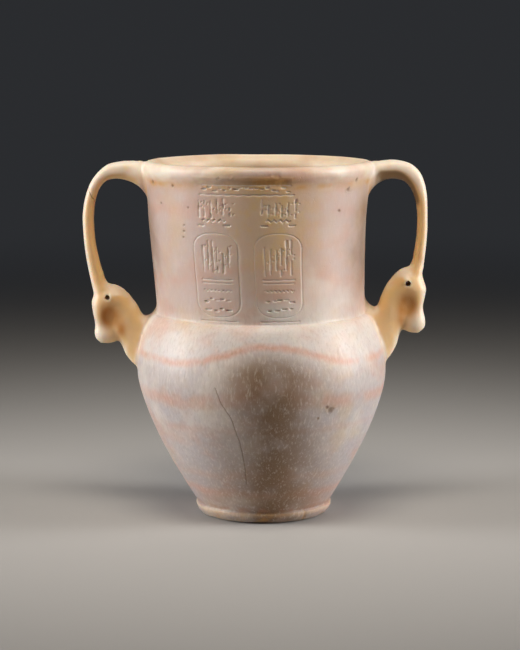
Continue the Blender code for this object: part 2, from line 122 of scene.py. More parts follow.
# Natural crack down the front of the body: turn from the front in degrees, and height
CRACK = ((-21, 0.123), (-18.5, 0.1107), (-14.5, 0.098), (-11.4, 0.076), (-10.1, 0.056), (-10.6, 0.033))
CRACK_WIDTH = 0.0008
CRACK_DEPTH = 0.0003

# Repaired break across the front of the left handle's bend
BREAK = ((-0.1490, 0.2795), (-0.1410, 0.2650))
BREAK_WIDTH = 0.0007
BREAK_DEPTH = 0.0005

# Pits in the stone: turn from the front in degrees, height, radius, depth
PITS = (
    (33, 0.1017, 0.0036, 0.0009),
    (31, 0.1045, 0.0018, 0.0005),
    (27, 0.096, 0.0012, 0.0004),
    (58, 0.2871, 0.0022, 0.0008),
    (51.6, 0.2796, 0.0026, 0.0009),
    (45.8, 0.263, 0.0016, 0.0006),
    (-47, 0.2832, 0.0013, 0.0006),
    (-58, 0.268, 0.0011, 0.0005),
    (-40.5, 0.247, 0.0010, 0.0004),
    (-40, 0.252, 0.0009, 0.0004),
    (-41, 0.242, 0.0009, 0.0004),
    (-37, 0.2665, 0.0010, 0.0004),
    (-66, 0.2845, 0.0022, 0.0009),
    (128, 0.225, 0.0020, 0.0007),
    (165, 0.118, 0.0030, 0.0009),
    (214, 0.263, 0.0016, 0.0006),
    (-118, 0.087, 0.0022, 0.0007),
    (97, 0.060, 0.0018, 0.0006),
)

# Colours of the stone, of what lies in it, and of the painted light and shade on it
ROSE = (0.62, 0.36, 0.27)
CHALK = (0.80, 0.72, 0.64)
HONEY = (0.66, 0.44, 0.20)
AMBER = (0.62, 0.32, 0.09)
TAN = (0.80, 0.54, 0.27)
CREAM = (0.88, 0.79, 0.68)
BROWN = (0.46, 0.15, 0.0)
GOLD = (0.92, 0.62, 0.26)
FRESH = (0.90, 0.50, 0.26)
BARK = (0.18, 0.09, 0.03)
UMBER = (0.36, 0.25, 0.17)
FRONT_SHADE_TONE = (0.22, 0.125, 0.060)
HOLE_SHADE = (0.20, 0.10, 0.04)
RUST = (0.42, 0.20, 0.12)
CORAL = (0.66, 0.34, 0.24)

# Colour and strength of the light of the backdrop
BACKDROP = (0.80, 0.85, 0.95)
BACKDROP_STRENGTH = 0.030

# Ground colours of the stone at shares of the height
ZONES = (
    (0.00, (0.47, 0.42, 0.40)),
    (0.06, (0.49, 0.40, 0.385)),
    (0.15, (0.485, 0.435, 0.435)),
    (0.30, (0.54, 0.49, 0.49)),
    (0.44, (0.555, 0.49, 0.47)),
    (0.475, (0.63, 0.575, 0.56)),
    (0.56, (0.67, 0.60, 0.55)),
    (0.60, (0.60, 0.465, 0.41)),
    (0.78, (0.59, 0.455, 0.405)),
    (0.935, (0.58, 0.44, 0.385)),
    (0.955, (0.70, 0.54, 0.39)),
    (0.970, (0.88, 0.78, 0.65)),
    (1.00, (0.86, 0.76, 0.62)),
)

# Rosy bands: middle and half width in the stone's layers, strength and colour
BANDS = (
    (0.1405, 0.0052, 0.72, CORAL),
    (0.1090, 0.0090, 0.55, CORAL),
    (0.0860, 0.0050, 0.25, ROSE),
    (0.0440, 0.0060, 0.30, ROSE),
    (0.0270, 0.0070, 0.50, CORAL),
    (0.2050, 0.0070, 0.25, CORAL),
    (0.2620, 0.0090, 0.25, CORAL),
)

# Clouds of tone: shift, upright squeeze, scale, range of the noise, strength and colour
CLOUDS = (
    ((0, 0, 0), 1.6, 21.0, (0.47, 0.70), 0.55, ROSE),
    ((0.3, 0.1, 0.7), 1.0, 17.0, (0.48, 0.72), 0.55, CHALK),
    ((1.3, 0.8, 0.2), 1.0, 24.0, (0.52, 0.75), 0.35, HONEY),
)

# The layers' rise at the front, their wobble and their frayed edges, then the sway of the fibres
# and the height of the fine relief
WAVE_RISE = 0.016
LAYER_WOBBLE = 0.004
LAYER_FRAY = 0.0035
FIBRE_SWAY = 0.006
RELIEF_HEIGHT = 0.0005

# Places of the painted shade on the front middle of the body, of the honey tone with painted warm shade
# on the neck, and of the painted shade that the handles cast on the neck
FRONT_MIDDLE = 0.006
FRONT_SHADE_WIDTH = 0.066
FRONT_SHADE_TOP = (0.1400, 0.122)
HONEY_AND_SHADE_WIDTH = 0.062
CAST_SHADE_SPAN = (0.058, 0.016)
CAST_SHADE_TURN = 0.006
CAST_SHADE_RAGGED = 0.045

# Heights between which the painted glow low on the handles, the painted light on their tops, the painted
# shade at their roots and the grain of the body come and go
LOW_GLOW_FADE = (0.290, 0.262)
TOP_LIGHT_FADE = (0.262, 0.285)
UPPER_ROOT_TOP = (0.292, 0.275)
UPPER_ROOT_FOOT = (0.215, 0.235)
LOWER_ROOT_TOP = (0.215, 0.195)
BODY_GRAIN = (0.200, 0.150)

# Gloss of the stone, and the light that enters it
ROUGHNESS = (0.34, 0.56)
GLOW_WEIGHT = 0.35
GLOW_RADIUS = (1.0, 0.46, 0.20)
GLOW_SCALE = 0.007

# Camera of the photograph: focal length and picture height in pixels, sensor, place and pitch
FOCAL_LENGTH = 2100
PICTURE_HEIGHT = 650
SENSOR = 36
CAMERA_PLACE = (-0.00293, -1.767, 0.4087)
CAMERA_PITCH = math.radians(8.0)

# Floor, which fades between these distances into the colour of the backdrop
FLOOR_RADIUS = 6.0
FLOOR_COLOR = (0.43, 0.42, 0.41)
FLOOR_FADE = (0.7, 2.6)

# Lights: name, place, aim, width and height, power and colour
WHITE = (1.0, 0.985, 0.975)
LIGHT_SPREAD = math.radians(70)
LIGHTS = (
    ("left_strip", (-1.30, -0.17, 0.50), (0, 0, 0.18), (0.45, 0.9), 3.05, WHITE),
    ("right_strip", (1.30, -0.17, 0.50), (0, 0, 0.18), (0.45, 0.9), 3.2, WHITE),
    ("top_front", (0.0, -0.58, 1.55), (0, 0, 0.25), (0.9, 0.5), 2.45, (1.0, 0.91, 0.78)),
    ("fill", (0.0, -2.00, 0.80), (0, 0, 0.20), (0.6, 0.4), 0.06, (1.0, 0.62, 0.32)),
)

# Mesh density: columns of the turned vessel, and longest edges wanted
COLUMNS = 156
COARSE_EDGE = 0.0046
INSIDE_EDGE = 0.0085
JOINT_EDGE = 0.0021
CREASE_EDGE = 0.0034
CARVED_EDGE = 0.00078
PIT_EDGE = 0.0009
LIP_EDGE = 0.0030
FOOT_EDGE = 0.0026
HANDLE_EDGE = 0.0033
FACET_EDGE = 0.0018
CHIP_EDGE = 0.0009
BREAK_EDGE = 0.0007
EYE_EDGE = 0.0008

# How far from a seam points are measured, the rounds of smoothing at the seams and at the chip,
# and the loss of stone from which the chip is fully smoothed
NEAR = 0.012
JOINT_ROUNDS = 30
CHIP_ROUNDS = 10
CHIP_FULL = 0.0005

# How far outside the vessel's skin the handles begin, and the width of the change
HANDLE_START = 0.0035
HANDLE_BLEND = 0.006

Handle = namedtuple(
    "Handle",
    "side eye_inset reach bar top_run crown_run squareness lean swell brow_height head_length eye_drop "
    "root_top root_foot crease_run face",
)

# Head from the brow to the lips, as shares of its length: outer edge out and down, inner edge in
# and down, half depth
LEFT_FACE = (
    (0.00, 0.00, 0.50, 0.02, 0.262),
    (0.032, 0.13, 0.53, 0.14, 0.288),
    (0.038, 0.22, 0.54, 0.26, 0.300),
    (0.015, 0.39, 0.53, 0.42, 0.270),
    (-0.015, 0.55, 0.52, 0.58, 0.215),
    (-0.022, 0.66, 0.51, 0.70, 0.195),
    (-0.008, 0.80, 0.505, 0.84, 0.205),
    (-0.040, 0.91, 0.50, 0.925, 0.180),
    (-0.120, 0.985, 0.42, 0.985, 0.115),
)
RIGHT_FACE = (
    (0.00, 0.00, 0.42, 0.02, 0.240),
    (0.048, 0.11, 0.46, 0.13, 0.262),
    (0.062, 0.21, 0.47, 0.24, 0.275),
    (0.045, 0.34, 0.46, 0.38, 0.250),
    (0.014, 0.50, 0.44, 0.54, 0.200),
    (0.022, 0.62, 0.41, 0.67, 0.180),
    (0.052, 0.76, 0.38, 0.80, 0.190),
    (0.040, 0.90, 0.36, 0.91, 0.165),
    (-0.050, 0.99, 0.30, 0.975, 0.105),
)

# Each handle's own sizes, as in the CAD model, but with eyes 1 to 2 mm further in
LEFT = Handle(
    side=-1, eye_inset=0.0121, reach=0.1524, bar=0.0093, top_run=0.0106, crown_run=0.0250, squareness=2.4,
    lean=0.0068, swell=0.0037, brow_height=0.1874, head_length=0.0422, eye_drop=0.0022,
    root_top=0.1670, root_foot=0.1240, crease_run=0.0105, face=LEFT_FACE,
)
RIGHT = Handle(
    side=1, eye_inset=0.0130, reach=0.1386, bar=0.0091, top_run=0.0110, crown_run=0.0205, squareness=3.3,
    lean=0.0030, swell=0.0023, brow_height=0.2021, head_length=0.0480, eye_drop=0.0049,
    root_top=0.1745, root_foot=0.1288, crease_run=0.0098, face=RIGHT_FACE,
)

# Rounded masses that join the face to the neck, the skull and the jowl: middle inward from the
# brow and down, then half width, half depth and half height, as shares of the head's length
MASSES = {
    "left": ((0.40, 0.10, 0.335, 0.292, 0.245), (0.47, 0.38, 0.21, 0.268, 0.31)),
    "right": ((0.29, 0.06, 0.235, 0.270, 0.195), (0.35, 0.37, 0.19, 0.252, 0.29)),
}

# Places on the sides of the left and the right head: inward from the brow and down as shares of the
# head's length, then half width and half height. The cheeks are hollowed and painted in shade, the
# creases behind the jaw get a painted shadow and the muzzles a painted highlight
CHEEKS = ((0.33, 0.44), (0.28, 0.500), 0.0088, 0.0108)
CREASE_SHADOWS = ((0.55, 0.72), (0.38, 0.775), 0.0042, 0.0080)
MUZZLE_HIGHLIGHTS = ((0.145, 0.80), (0.10, 0.80), 0.0090, 0.0105)


def blend(a, b, share):
    return a + (b - a) * share


def ease(share):
    share = np.clip(share, 0.0, 1.0)
    return share * share * (3 - 2 * share)


def axis_x(z):
    """Where the hand-turned axis lies at this height."""
    shares = [share for share, _ in AXIS_WANDER]
    shifts = [AXIS_SHIFT * shift for _, shift in AXIS_WANDER]
    return np.interp(np.asarray(z) / HEIGHT, shares, shifts)


def axis_out(handle, z):
    """How far the axis lies towards this handle at this height."""
    return handle.side * float(axis_x(z))


def plain_radius(z):
    """Radius of the outside before the belly is softened."""
    rise = np.clip((z - FOOT_HEIGHT) / (BELLY_HEIGHT - FOOT_HEIGHT), 0, 1)
    body = blend(FOOT_GROOVE_RADIUS, BELLY_RADIUS, 1 - (1 - rise) ** BODY_FULLNESS)
    rise = np.clip((z - BELLY_HEIGHT) / (NECK_BASE_HEIGHT - BELLY_HEIGHT), 0, 1)
    drop = blend(1 - np.sqrt(1 - rise * rise), rise, SHOULDER_SLOPE_SHARE)
    shoulder = blend(BELLY_RADIUS, NECK_BASE_RADIUS, drop)
    rise = np.clip((z - NECK_BASE_HEIGHT) / (LIP_FOOT - NECK_BASE_HEIGHT), 0, 1)
    neck = blend(NECK_BASE_RADIUS, NECK_TOP_RADIUS, rise ** NECK_FLARE)
    return np.where(z <= BELLY_HEIGHT, body, np.where(z <= NECK_BASE_HEIGHT, shoulder, neck))


def outer_radius(z):
    """Radius of the outside between the foot's groove and the underside of the lip."""
    z = np.asarray(z, float)
    soft = ease(1.5 - np.abs(z - BELLY_HEIGHT) / BELLY_SOFT)
    offsets = (-0.9, -0.6, -0.3, 0.3, 0.6, 0.9)
    around = sum(plain_radius(z + offset * BELLY_SOFT) for offset in offsets) / len(offsets)
    return blend(plain_radius(z), around, soft)


def inner_radius(z):
    """Radius of the hollow between the floor's corner and the mouth."""
    z = np.asarray(z, float)
    share = ease((z - BELLY_HEIGHT) / (NECK_BASE_HEIGHT - BELLY_HEIGHT))
    body = outer_radius(z) - blend(BODY_WALL, NECK_WALL, share)
    rise = np.clip((z - NECK_BASE_HEIGHT) / (LIP_FOOT - NECK_BASE_HEIGHT), 0, 1)
    neck = blend(NECK_BASE_RADIUS - NECK_WALL, MOUTH_RADIUS, rise)
    return np.where(z <= NECK_BASE_HEIGHT, body, neck)


def lip_swell(z):
    """How far the lip stands proud of the neck at this height."""
    rise = (z - LIP_FOOT + 0.2 * LIP_THICKNESS) / (0.62 * LIP_THICKNESS)
    return float((LIP_RADIUS - NECK_TOP_RADIUS) * ease(rise))


def vessel_profile():
    """Radius and height from the middle of the underside, over the lip, to the floor's middle."""
    profile = [(BASE_RADIUS * share, 0.0) for share in (0.3, 0.6, 0.85, 0.97)]
    for share in np.linspace(0.1, 0.9, 7):
        angle = 0.5 * math.pi * min(share / 0.86, 1.0)
        profile.append((blend(BASE_RADIUS, FOOT_RADIUS, math.sin(angle)), FOOT_HEIGHT * share))
    for share in np.linspace(0, 1, 44) ** 1.08:
        z = blend(FOOT_HEIGHT, BELLY_HEIGHT, share)
        profile.append((float(outer_radius(z)), z))
    for share in np.sin(np.linspace(0, 0.5 * math.pi, 25)[1:]):
        z = blend(BELLY_HEIGHT, NECK_BASE_HEIGHT, share)
        profile.append((float(outer_radius(z)), z))
    roll_foot = HEIGHT - 0.45 * LIP_THICKNESS
    for share in np.linspace(0, 1, 46)[1:]:
        z = blend(NECK_BASE_HEIGHT, roll_foot, share)
        profile.append((float(outer_radius(z)) + lip_swell(z), z))
    for share in np.linspace(0, 1.0, 10)[1:]:
        angle = 0.5 * math.pi * share
        r = blend(CREST_RADIUS, LIP_RADIUS, math.cos(angle) ** 0.8)
        profile.append((r, blend(roll_foot, HEIGHT, math.sin(angle))))
    for share in np.linspace(0, 1, 7)[1:]:
        angle = 0.5 * math.pi * share
        r = blend(MOUTH_RADIUS, CREST_RADIUS, math.cos(angle))
        profile.append((r, HEIGHT - (CREST_RADIUS - MOUTH_RADIUS) * 0.8 * (1 - math.cos(angle))))
    for share in np.linspace(0.02, 1, 18):
        z = blend(LIP_FOOT, NECK_BASE_HEIGHT, share)
        profile.append((float(inner_radius(z)), z))
    floor_edge = FLOOR_THICKNESS + FLOOR_CORNER
    for share in np.linspace(0, 1, 24)[1:]:
        z = blend(NECK_BASE_HEIGHT, floor_edge, share)
        profile.append((float(inner_radius(z)), z))
    for share in np.linspace(0, 1, 6)[1:]:
        angle = 0.5 * math.pi * share
        corner_r = float(inner_radius(floor_edge)) - FLOOR_CORNER * (1 - math.cos(angle))
        profile.append((corner_r, floor_edge - FLOOR_CORNER * math.sin(angle)))
    profile += [(0.04 * share, FLOOR_THICKNESS) for share in (0.85, 0.5, 0.2)]
    return np.array(profile)


def ring_mesh(rings):
    """Points and quads through an array of rings, closed with a fan at each end."""
    rows, columns, _ = rings.shape
    points = rings.reshape(-1, 3)
    here = np.arange(rows * columns).reshape(rows, columns)
    across = np.roll(here, -1, axis=1)
    quads = np.stack([here[:-1], across[:-1], across[1:], here[1:]], axis=-1).reshape(-1, 4)
    first = np.stack([quads[:, 0], quads[:, 1], quads[:, 2]], axis=-1)
    second = np.stack([quads[:, 0], quads[:, 2], quads[:, 3]], axis=-1)
    low, high = len(points), len(points) + 1
    points = np.vstack([points, rings[0].mean(0), rings[-1].mean(0)])
    foot = np.stack([across[0], here[0], np.full(columns, low)], axis=-1)
    top = np.stack([here[-1], across[-1], np.full(columns, high)], axis=-1)
    return points, np.vstack([first, second, foot, top])


def add_object(name, data):
    """New object with this data, in the scene."""
    added = bpy.data.objects.new(name, data)
    bpy.context.scene.collection.objects.link(added)
    return added


def make_object(name, points, faces):
    mesh = bpy.data.meshes.new(name)
    mesh.from_pydata(points.tolist(), [], faces.tolist())
    build = bmesh.new()
    build.from_mesh(mesh)
    bmesh.ops.recalc_face_normals(build, faces=build.faces)
    build.to_mesh(mesh)
    build.free()
    return add_object(name, mesh)


def turned(name, r, z):
    """Closed form around the wandering axis, through columns of radii and heights."""
    turns = 2 * np.pi * np.arange(COLUMNS) / COLUMNS
    x = axis_x(z) + r * np.sin(turns)
    rings = np.stack([x, -r * np.cos(turns), np.broadcast_to(z, x.shape)], axis=-1)
    return make_object(name, *ring_mesh(rings))


def vessel():
    profile = vessel_profile()
    return turned("vessel", profile[:, :1], profile[:, 1:])


def quarter(centre, reach, rise, fullness, share):
    """Point on a quarter of a superellipse: share 0 is its highest point, share 1 its outermost."""
    turn = 0.5 * math.pi * share
    out = reach * math.sin(turn) ** (2 / fullness)
    up = rise * max(0.0, math.cos(turn)) ** (2 / fullness)
    return (centre[0] + out, centre[1] + up)


def bar_ribs(handle):
    """Outer edge, inner edge and half depth along the bar, from inside the lip to the head."""
    wall_x = NECK_TOP_RADIUS + axis_out(handle, HEIGHT - FILLET_DROP)
    top = HEIGHT + HANDLE_CROWN
    arch_top = HEIGHT - ARCH_THICKNESS
    bend_z = HEIGHT - BEND_DROP
    fillet_z = HEIGHT - FILLET_DROP
    run_x = wall_x + handle.top_run
    crown_x = wall_x + handle.crown_run
    half_depth = 0.5 * HANDLE_DEPTH
    fillet_x = float(outer_radius(fillet_z)) + axis_out(handle, fillet_z) - FILLET_SINK
    buried_x = wall_x - 0.75 * NECK_WALL
    buried_top = (buried_x, HEIGHT - 1.5 * HANDLE_CROWN)
    buried_foot = (buried_x, fillet_z - 0.25 * FILLET_DROP)
    ribs = [(buried_top, buried_foot, 0.5 * ROOT_SPREAD)]
    for share in (0.97, 0.92, 0.86, 0.75, 0.62, 0.51, 0.40, 0.30, 0.20, 0.1):
        crown = (crown_x, fillet_z)
        inner = quarter(crown, fillet_x - crown_x, arch_top - fillet_z, FILLET_FULLNESS, share)
        outer_x = blend(run_x, wall_x - 0.3 * NECK_WALL, share)
        outer_z = blend(top, HEIGHT - HANDLE_CROWN, share * share)
        ribs.append(((outer_x, outer_z), inner, blend(half_depth, 0.5 * ROOT_SPREAD, share ** 2)))
    bend_reach = handle.reach - run_x
    crown_ratio = (crown_x + 0.2 * ARCH_THICKNESS - run_x) / bend_reach
    crown_share = math.asin(crown_ratio ** (0.5 * handle.squareness)) / (0.5 * math.pi)
    for share in (0.0, 0.2, 0.4, 0.58, 0.76, 0.9, 1.0):
        outer_share = blend(crown_share, 1.0, share)
        outer = quarter((run_x, bend_z), bend_reach, top - bend_z, handle.squareness, outer_share)
        inner_reach = handle.reach - handle.bar - crown_x
        inner = quarter((crown_x, bend_z), inner_reach, arch_top - bend_z, ARCH_FULLNESS, share)
        ribs.append((outer, inner, half_depth))
    poll_z = handle.brow_height + NAPE_RISE
    for share in (0.3, 0.6, 0.85, 1.0):
        bar_z = blend(bend_z, poll_z, share)
        outer_x = handle.reach - handle.lean * share ** 1.6
        inner_x = handle.reach - handle.bar - (handle.lean + handle.swell) * share ** 2
        ribs.append(((outer_x, bar_z), (inner_x, bar_z), half_depth * (1 + 0.15 * share ** 3)))
    return ribs


def brow_point(handle):
    return (handle.reach - 1.28 * handle.lean, handle.brow_height)


def head_ribs(handle):
    """Edges and half depth of the face, from the brow to the lips."""
    brow_x, brow_z = brow_point(handle)
    size = handle.head_length
    ribs = []
    for out, down, inward, inner_down, depth in handle.face:
        outer = (brow_x + out * size, brow_z - down * size)
        inner = (brow_x - inward * size, brow_z - inner_down * size)
        ribs.append((outer, inner, depth * size))
    return ribs


def neck_ribs(handle):
    """Nape, throat and half depth from inside the head to inside the wall of the body."""
    brow_x, brow_z = brow_point(handle)
    size = handle.head_length
    poll = (handle.reach - handle.bar - handle.lean - handle.swell, brow_z + NAPE_RISE)
    jaw = (brow_x - handle.face[-2][2] * size, brow_z - handle.face[-2][3] * size)
    crease_x = NECK_BASE_RADIUS + handle.crease_run + axis_out(handle, NECK_BASE_HEIGHT)
    root_top = (crease_x, handle.root_top)
    foot_x = float(outer_radius(handle.root_foot)) + axis_out(handle, handle.root_foot)
    root_foot = (foot_x, handle.root_foot)
    half_depth = 0.5 * NECK_DEPTH
    span_x = poll[0] - root_top[0]
    span_z = poll[1] - root_top[1]
    near = (poll[0] - NAPE_FULLNESS * span_x, poll[1])
    far = (root_top[0] + 0.24 * span_x, root_top[1] + 0.85 * NAPE_FULLNESS * span_z)
    skull_top = (poll[0] + 0.10 * size, brow_z + 0.17 * size)
    skull_foot = (jaw[0] + 0.25 * size, jaw[1] + 0.25 * size)
    ribs = [(skull_top, skull_foot, 0.6 * half_depth)]
    for share in (0.08, 0.25, 0.42, 0.6, 0.8, 1.0):
        rest = 1 - share
        weights = (rest ** 3, 3 * rest * rest * share, 3 * rest * share * share, share ** 3)
        nape = tuple(
            sum(weight * point[axis] for weight, point in zip(weights, (poll, near, far, root_top)))
            for axis in (0, 1)
        )
        bulge = THROAT_BULGE * math.sin(math.pi * share)
        throat_x = blend(jaw[0], root_foot[0], share) + 0.8 * bulge
        throat = (throat_x, blend(jaw[1], root_foot[1], share) - 0.6 * bulge)
        ribs.append((nape, throat, half_depth * (1 + 0.1 * share ** 3)))
    buried = 0.9 * BODY_WALL
    buried_top = (root_top[0] - buried, root_top[1] - buried)
    buried_foot = (root_foot[0] - buried, root_foot[1] - 0.6 * buried)
    ribs.append((buried_top, buried_foot, 1.1 * half_depth))
    return ribs


def smooth_ribs(ribs, step):
    """The same ribs with more between them, on Catmull-Rom curves."""
    table = np.array([(*outer, *inner, depth) for outer, inner, depth in ribs])
    padded = np.vstack([2 * table[0] - table[1], table, 2 * table[-1] - table[-2]])
    fine = []
    for before, start, end, after in zip(padded, padded[1:], padded[2:], padded[3:]):
        length = max(math.dist(start[:2], end[:2]), math.dist(start[2:4], end[2:4]))
        count = max(1, round(length / step))
        for t in np.arange(count) / count:
            fine.append(
                0.5 * (
                    2 * start + (end - before) * t
                    + (2 * before - 5 * start + 4 * end - after) * t ** 2
                    + (3 * start - before - 3 * end + after) * t ** 3
                )
            )
    fine.append(table[-1])
    return np.array(fine)


def loft(name, handle, ribs, fullness, points, step, dome=False):
    """Closed mesh through oval sections, each spanning a rib's edges and its depth."""
    ribs = smooth_ribs(ribs, step)
    turn = 2 * np.pi * (np.arange(points) + 0.5) / points
    across = np.copysign(np.abs(np.cos(turn)) ** (2 / fullness), np.cos(turn))
    deep = np.copysign(np.abs(np.sin(turn)) ** (2 / fullness), np.sin(turn))
    outer, inner, depth = ribs[:, :2], ribs[:, 2:4], ribs[:, 4:]
    middle = 0.5 * (outer + inner)
    half = 0.5 * (outer - inner)
    x = middle[:, :1] + half[:, :1] * across
    z = middle[:, 1:] + half[:, 1:] * across
    y = depth * deep
    rings = np.stack([handle.side * x, y, z], axis=-1)
    if dome:
        rings = np.concatenate([rings, dome_rings(rings)])
    return make_object(name, *ring_mesh(rings))


def dome_rings(rings):
    """Rounded end over the last ring, in place of a flat one."""
    last = rings[-1]
    middle = last.mean(0)
    ahead = middle - rings[-3].mean(0)
    ahead /= np.linalg.norm(ahead)
    bulge = 0.10 * np.linalg.norm(last - middle, axis=1).mean()
    added = []
    for share in (0.4, 0.7, 0.9, 0.98):
        shrink = math.sqrt(1 - share ** 2.2)
        added.append(middle + (last - middle) * blend(0.12, 1.0, shrink) + ahead * bulge * share)
    return np.array(added)


def combine(target, tool, operation):
    """Applies a Boolean to the target and removes the tool."""
    step = target.modifiers.new(operation, "BOOLEAN")
    step.operation = operation
    step.solver = "MANIFOLD"
    step.object = tool
    bpy.context.view_layer.update()
    graph = bpy.context.evaluated_depsgraph_get()
    mesh = bpy.data.meshes.new_from_object(target.evaluated_get(graph))
    target.modifiers.clear()
    target.data = mesh
    bpy.data.objects.remove(tool)


def core():
    """Solid of the middle of the wall, which stops the handles halfway into it."""
    body = np.linspace(FLOOR_THICKNESS, NECK_BASE_HEIGHT, 30)
    neck = np.linspace(NECK_BASE_HEIGHT, HEIGHT + 5 * HANDLE_CROWN, 16)[1:]
    z = np.concatenate([body, neck])[:, None]
    return turned("core", 0.5 * (outer_radius(z) + inner_radius(z)), z)


def eye_pin(handle, face_side):
    """Drill with a rounded tip for one eye."""
    brow_x, brow_z = brow_point(handle)
    surface = handle.face[0][4] * handle.head_length
    centre_x = handle.side * (brow_x - handle.eye_inset)
    centre_z = brow_z - handle.eye_drop
    turns = 2 * np.pi * np.arange(20) / 20
    rings = []
    for deep, share in ((1.0, 1.0), (0.2, 1.0), (-0.75, 0.9), (-0.93, 0.68), (-1.0, 0.3)):
        x = centre_x + 0.5 * EYE_DIAMETER * share * np.cos(turns)
        z = centre_z + 0.5 * EYE_DIAMETER * share * np.sin(turns)
        y = np.full_like(x, face_side * (surface + deep * EYE_DEPTH))
        rings.append(np.stack([x, y, z], axis=-1))
    return make_object("eye_pin", *ring_mesh(np.array(rings)))


def oval(handle, inward, down, half_x, half_y, half_z):
    """Rounded mass of the head, placed and sized in shares of the head's length."""
    brow_x, brow_z = brow_point(handle)
    size = handle.head_length
    centre = (handle.side * (brow_x - inward * size), 0.0, brow_z - down * size)
    build = bmesh.new()
    bmesh.ops.create_icosphere(build, subdivisions=4, radius=size)
    for corner in build.verts:
        corner.co.x = centre[0] + half_x * corner.co.x
        corner.co.y = centre[1] + half_y * corner.co.y
        corner.co.z = centre[2] + half_z * corner.co.z
    mesh = bpy.data.meshes.new("oval")
    build.to_mesh(mesh)
    build.free()
    return add_object("oval", mesh)


def web_ribs(handle):
    """Stone left in the corner between the jar's neck, its shoulder and the handle."""
    crease_x = NECK_BASE_RADIUS + handle.crease_run + axis_out(handle, NECK_BASE_HEIGHT)
    wall_x = NECK_BASE_RADIUS + axis_out(handle, NECK_BASE_HEIGHT)
    low_x, low_z = crease_x - 0.0010, handle.root_top + WEB_FLOOR
    foot_z = handle.root_top - 0.020
    high_z = handle.root_top + WEB_RISE
    tops = [
        (wall_x - 0.005, high_z + 0.006),
        (wall_x - 0.0002, high_z),
        (blend(wall_x, low_x, 0.30), blend(high_z, low_z, 0.52)),
        (blend(wall_x, low_x, 0.62), blend(high_z, low_z, 0.86)),
        (low_x, low_z),
        (low_x + 0.004, low_z + 0.0006),
        (low_x + 0.009, low_z + 0.001),
    ]
    depths = (0.006, 0.0085, 0.0095, 0.010, 0.0105, 0.0105, 0.009)
    return [((x, z), (x - 0.001, foot_z), depth) for (x, z), depth in zip(tops, depths)]


def mesh_arrays(mesh):
    mesh.calc_loop_triangles()
    points = np.empty(len(mesh.vertices) * 3)
    mesh.vertices.foreach_get("co", points)
    faces = np.empty(len(mesh.loop_triangles) * 3, np.int64)
    mesh.loop_triangles.foreach_get("vertices", faces)
    return points.reshape(-1, 3), faces.reshape(-1, 3)


def edge_table(faces):
    """Unique edges, and for each face the numbers of its three edges."""
    pairs = np.sort(np.concatenate([faces[:, [0, 1]], faces[:, [1, 2]], faces[:, [2, 0]]]), axis=1)
    edges, index = np.unique(pairs, axis=0, return_inverse=True)
    return edges, index.reshape(3, -1).T


def refine(points, faces, target, rounds):
    """Splits edges that are longer than the target at their middle, until few are left."""
    for _ in range(rounds):
        edges, of_face = edge_table(faces)
        length = np.linalg.norm(points[edges[:, 0]] - points[edges[:, 1]], axis=1)
        middle = 0.5 * (points[edges[:, 0]] + points[edges[:, 1]])
        marked = length > target(middle)
        if not marked.any():
            break
        longest = of_face[np.arange(len(faces)), length[of_face].argmax(axis=1)]
        while True:
            needed = longest[marked[of_face].any(axis=1)]
            if marked[needed].all():
                break
            marked[needed] = True
        number = np.full(len(edges), -1)
        number[marked] = len(points) + np.arange(marked.sum())
        points = np.vstack([points, middle[marked]])
        split = number[of_face]
        has = split >= 0
        pieces = [faces[~has.any(axis=1)]]

        def cut(where, *corners):
            pieces.append(np.stack(corners, axis=-1)[where])

        for turn in range(3):
            order = [(turn + k) % 3 for k in range(3)]
            v0, v1, v2 = (faces[:, k] for k in order)
            m0, m1, m2 = (split[:, k] for k in order)
            h0, h1, h2 = (has[:, k] for k in order)
            one = h0 & ~h1 & ~h2
            cut(one, v0, m0, v2)
            cut(one, m0, v1, v2)
            two = h0 & h1 & ~h2
            cut(two, m0, v1, m1)
            first = two & (longest == of_face[:, order[0]])
            second = two & ~first
            cut(first, v0, m0, v2)
            cut(first, m0, m1, v2)
            cut(second, v0, m0, m1)
            cut(second, v0, m1, v2)
        every = has.all(axis=1)
        v0, v1, v2 = faces.T
        m0, m1, m2 = split.T
        cut(every, v0, m0, m2)
        cut(every, m0, v1, m1)
        cut(every, m2, m1, v2)
        cut(every, m0, m1, m2)
        faces = np.vstack(pieces)
    return points, faces


def vertex_normals(points, faces):
    a, b, c = points[faces[:, 0]], points[faces[:, 1]], points[faces[:, 2]]
    normal = np.cross(b - a, c - a)
    total = np.zeros_like(points)
    for k in range(3):
        np.add.at(total, faces[:, k], normal)
    return total / np.maximum(np.linalg.norm(total, axis=1, keepdims=True), 1e-12)


def relax(points, faces, weight, rounds):
    """Moves points towards the middle of their neighbours, as far as their weight says."""
    edges, _ = edge_table(faces)
    degree = np.zeros(len(points))
    np.add.at(degree, edges.ravel(), 1)
    chosen = weight > 0
    near = edges[chosen[edges].any(axis=1)]
    for _ in range(rounds):
        total = np.zeros_like(points)
        np.add.at(total, near[:, 0], points[near[:, 1]])
        np.add.at(total, near[:, 1], points[near[:, 0]])
        middle = total[chosen] / degree[chosen, None]
        points[chosen] += 0.5 * weight[chosen, None] * (middle - points[chosen])
    return points


def nearest_distance(points, marks, most):
    """Distance from each point to the nearest mark, or the limit where that is further."""
    tree = kdtree.KDTree(len(marks))
    for k, mark in enumerate(marks):
        tree.insert(mark, k)
    tree.balance()
    steps = np.array(np.meshgrid(*[(-1, 0, 1)] * 3)).reshape(3, -1).T
    cells = (np.floor(marks / most).astype(int)[:, None] + steps).reshape(-1, 3)
    place = np.array([1, 1000, 1000000])
    inside = np.isin(np.floor(points / most).astype(int) @ place, cells @ place)
    found = np.full(len(points), most)
    for k in np.flatnonzero(inside):
        found[k] = min(most, tree.find(points[k])[2])
    return found


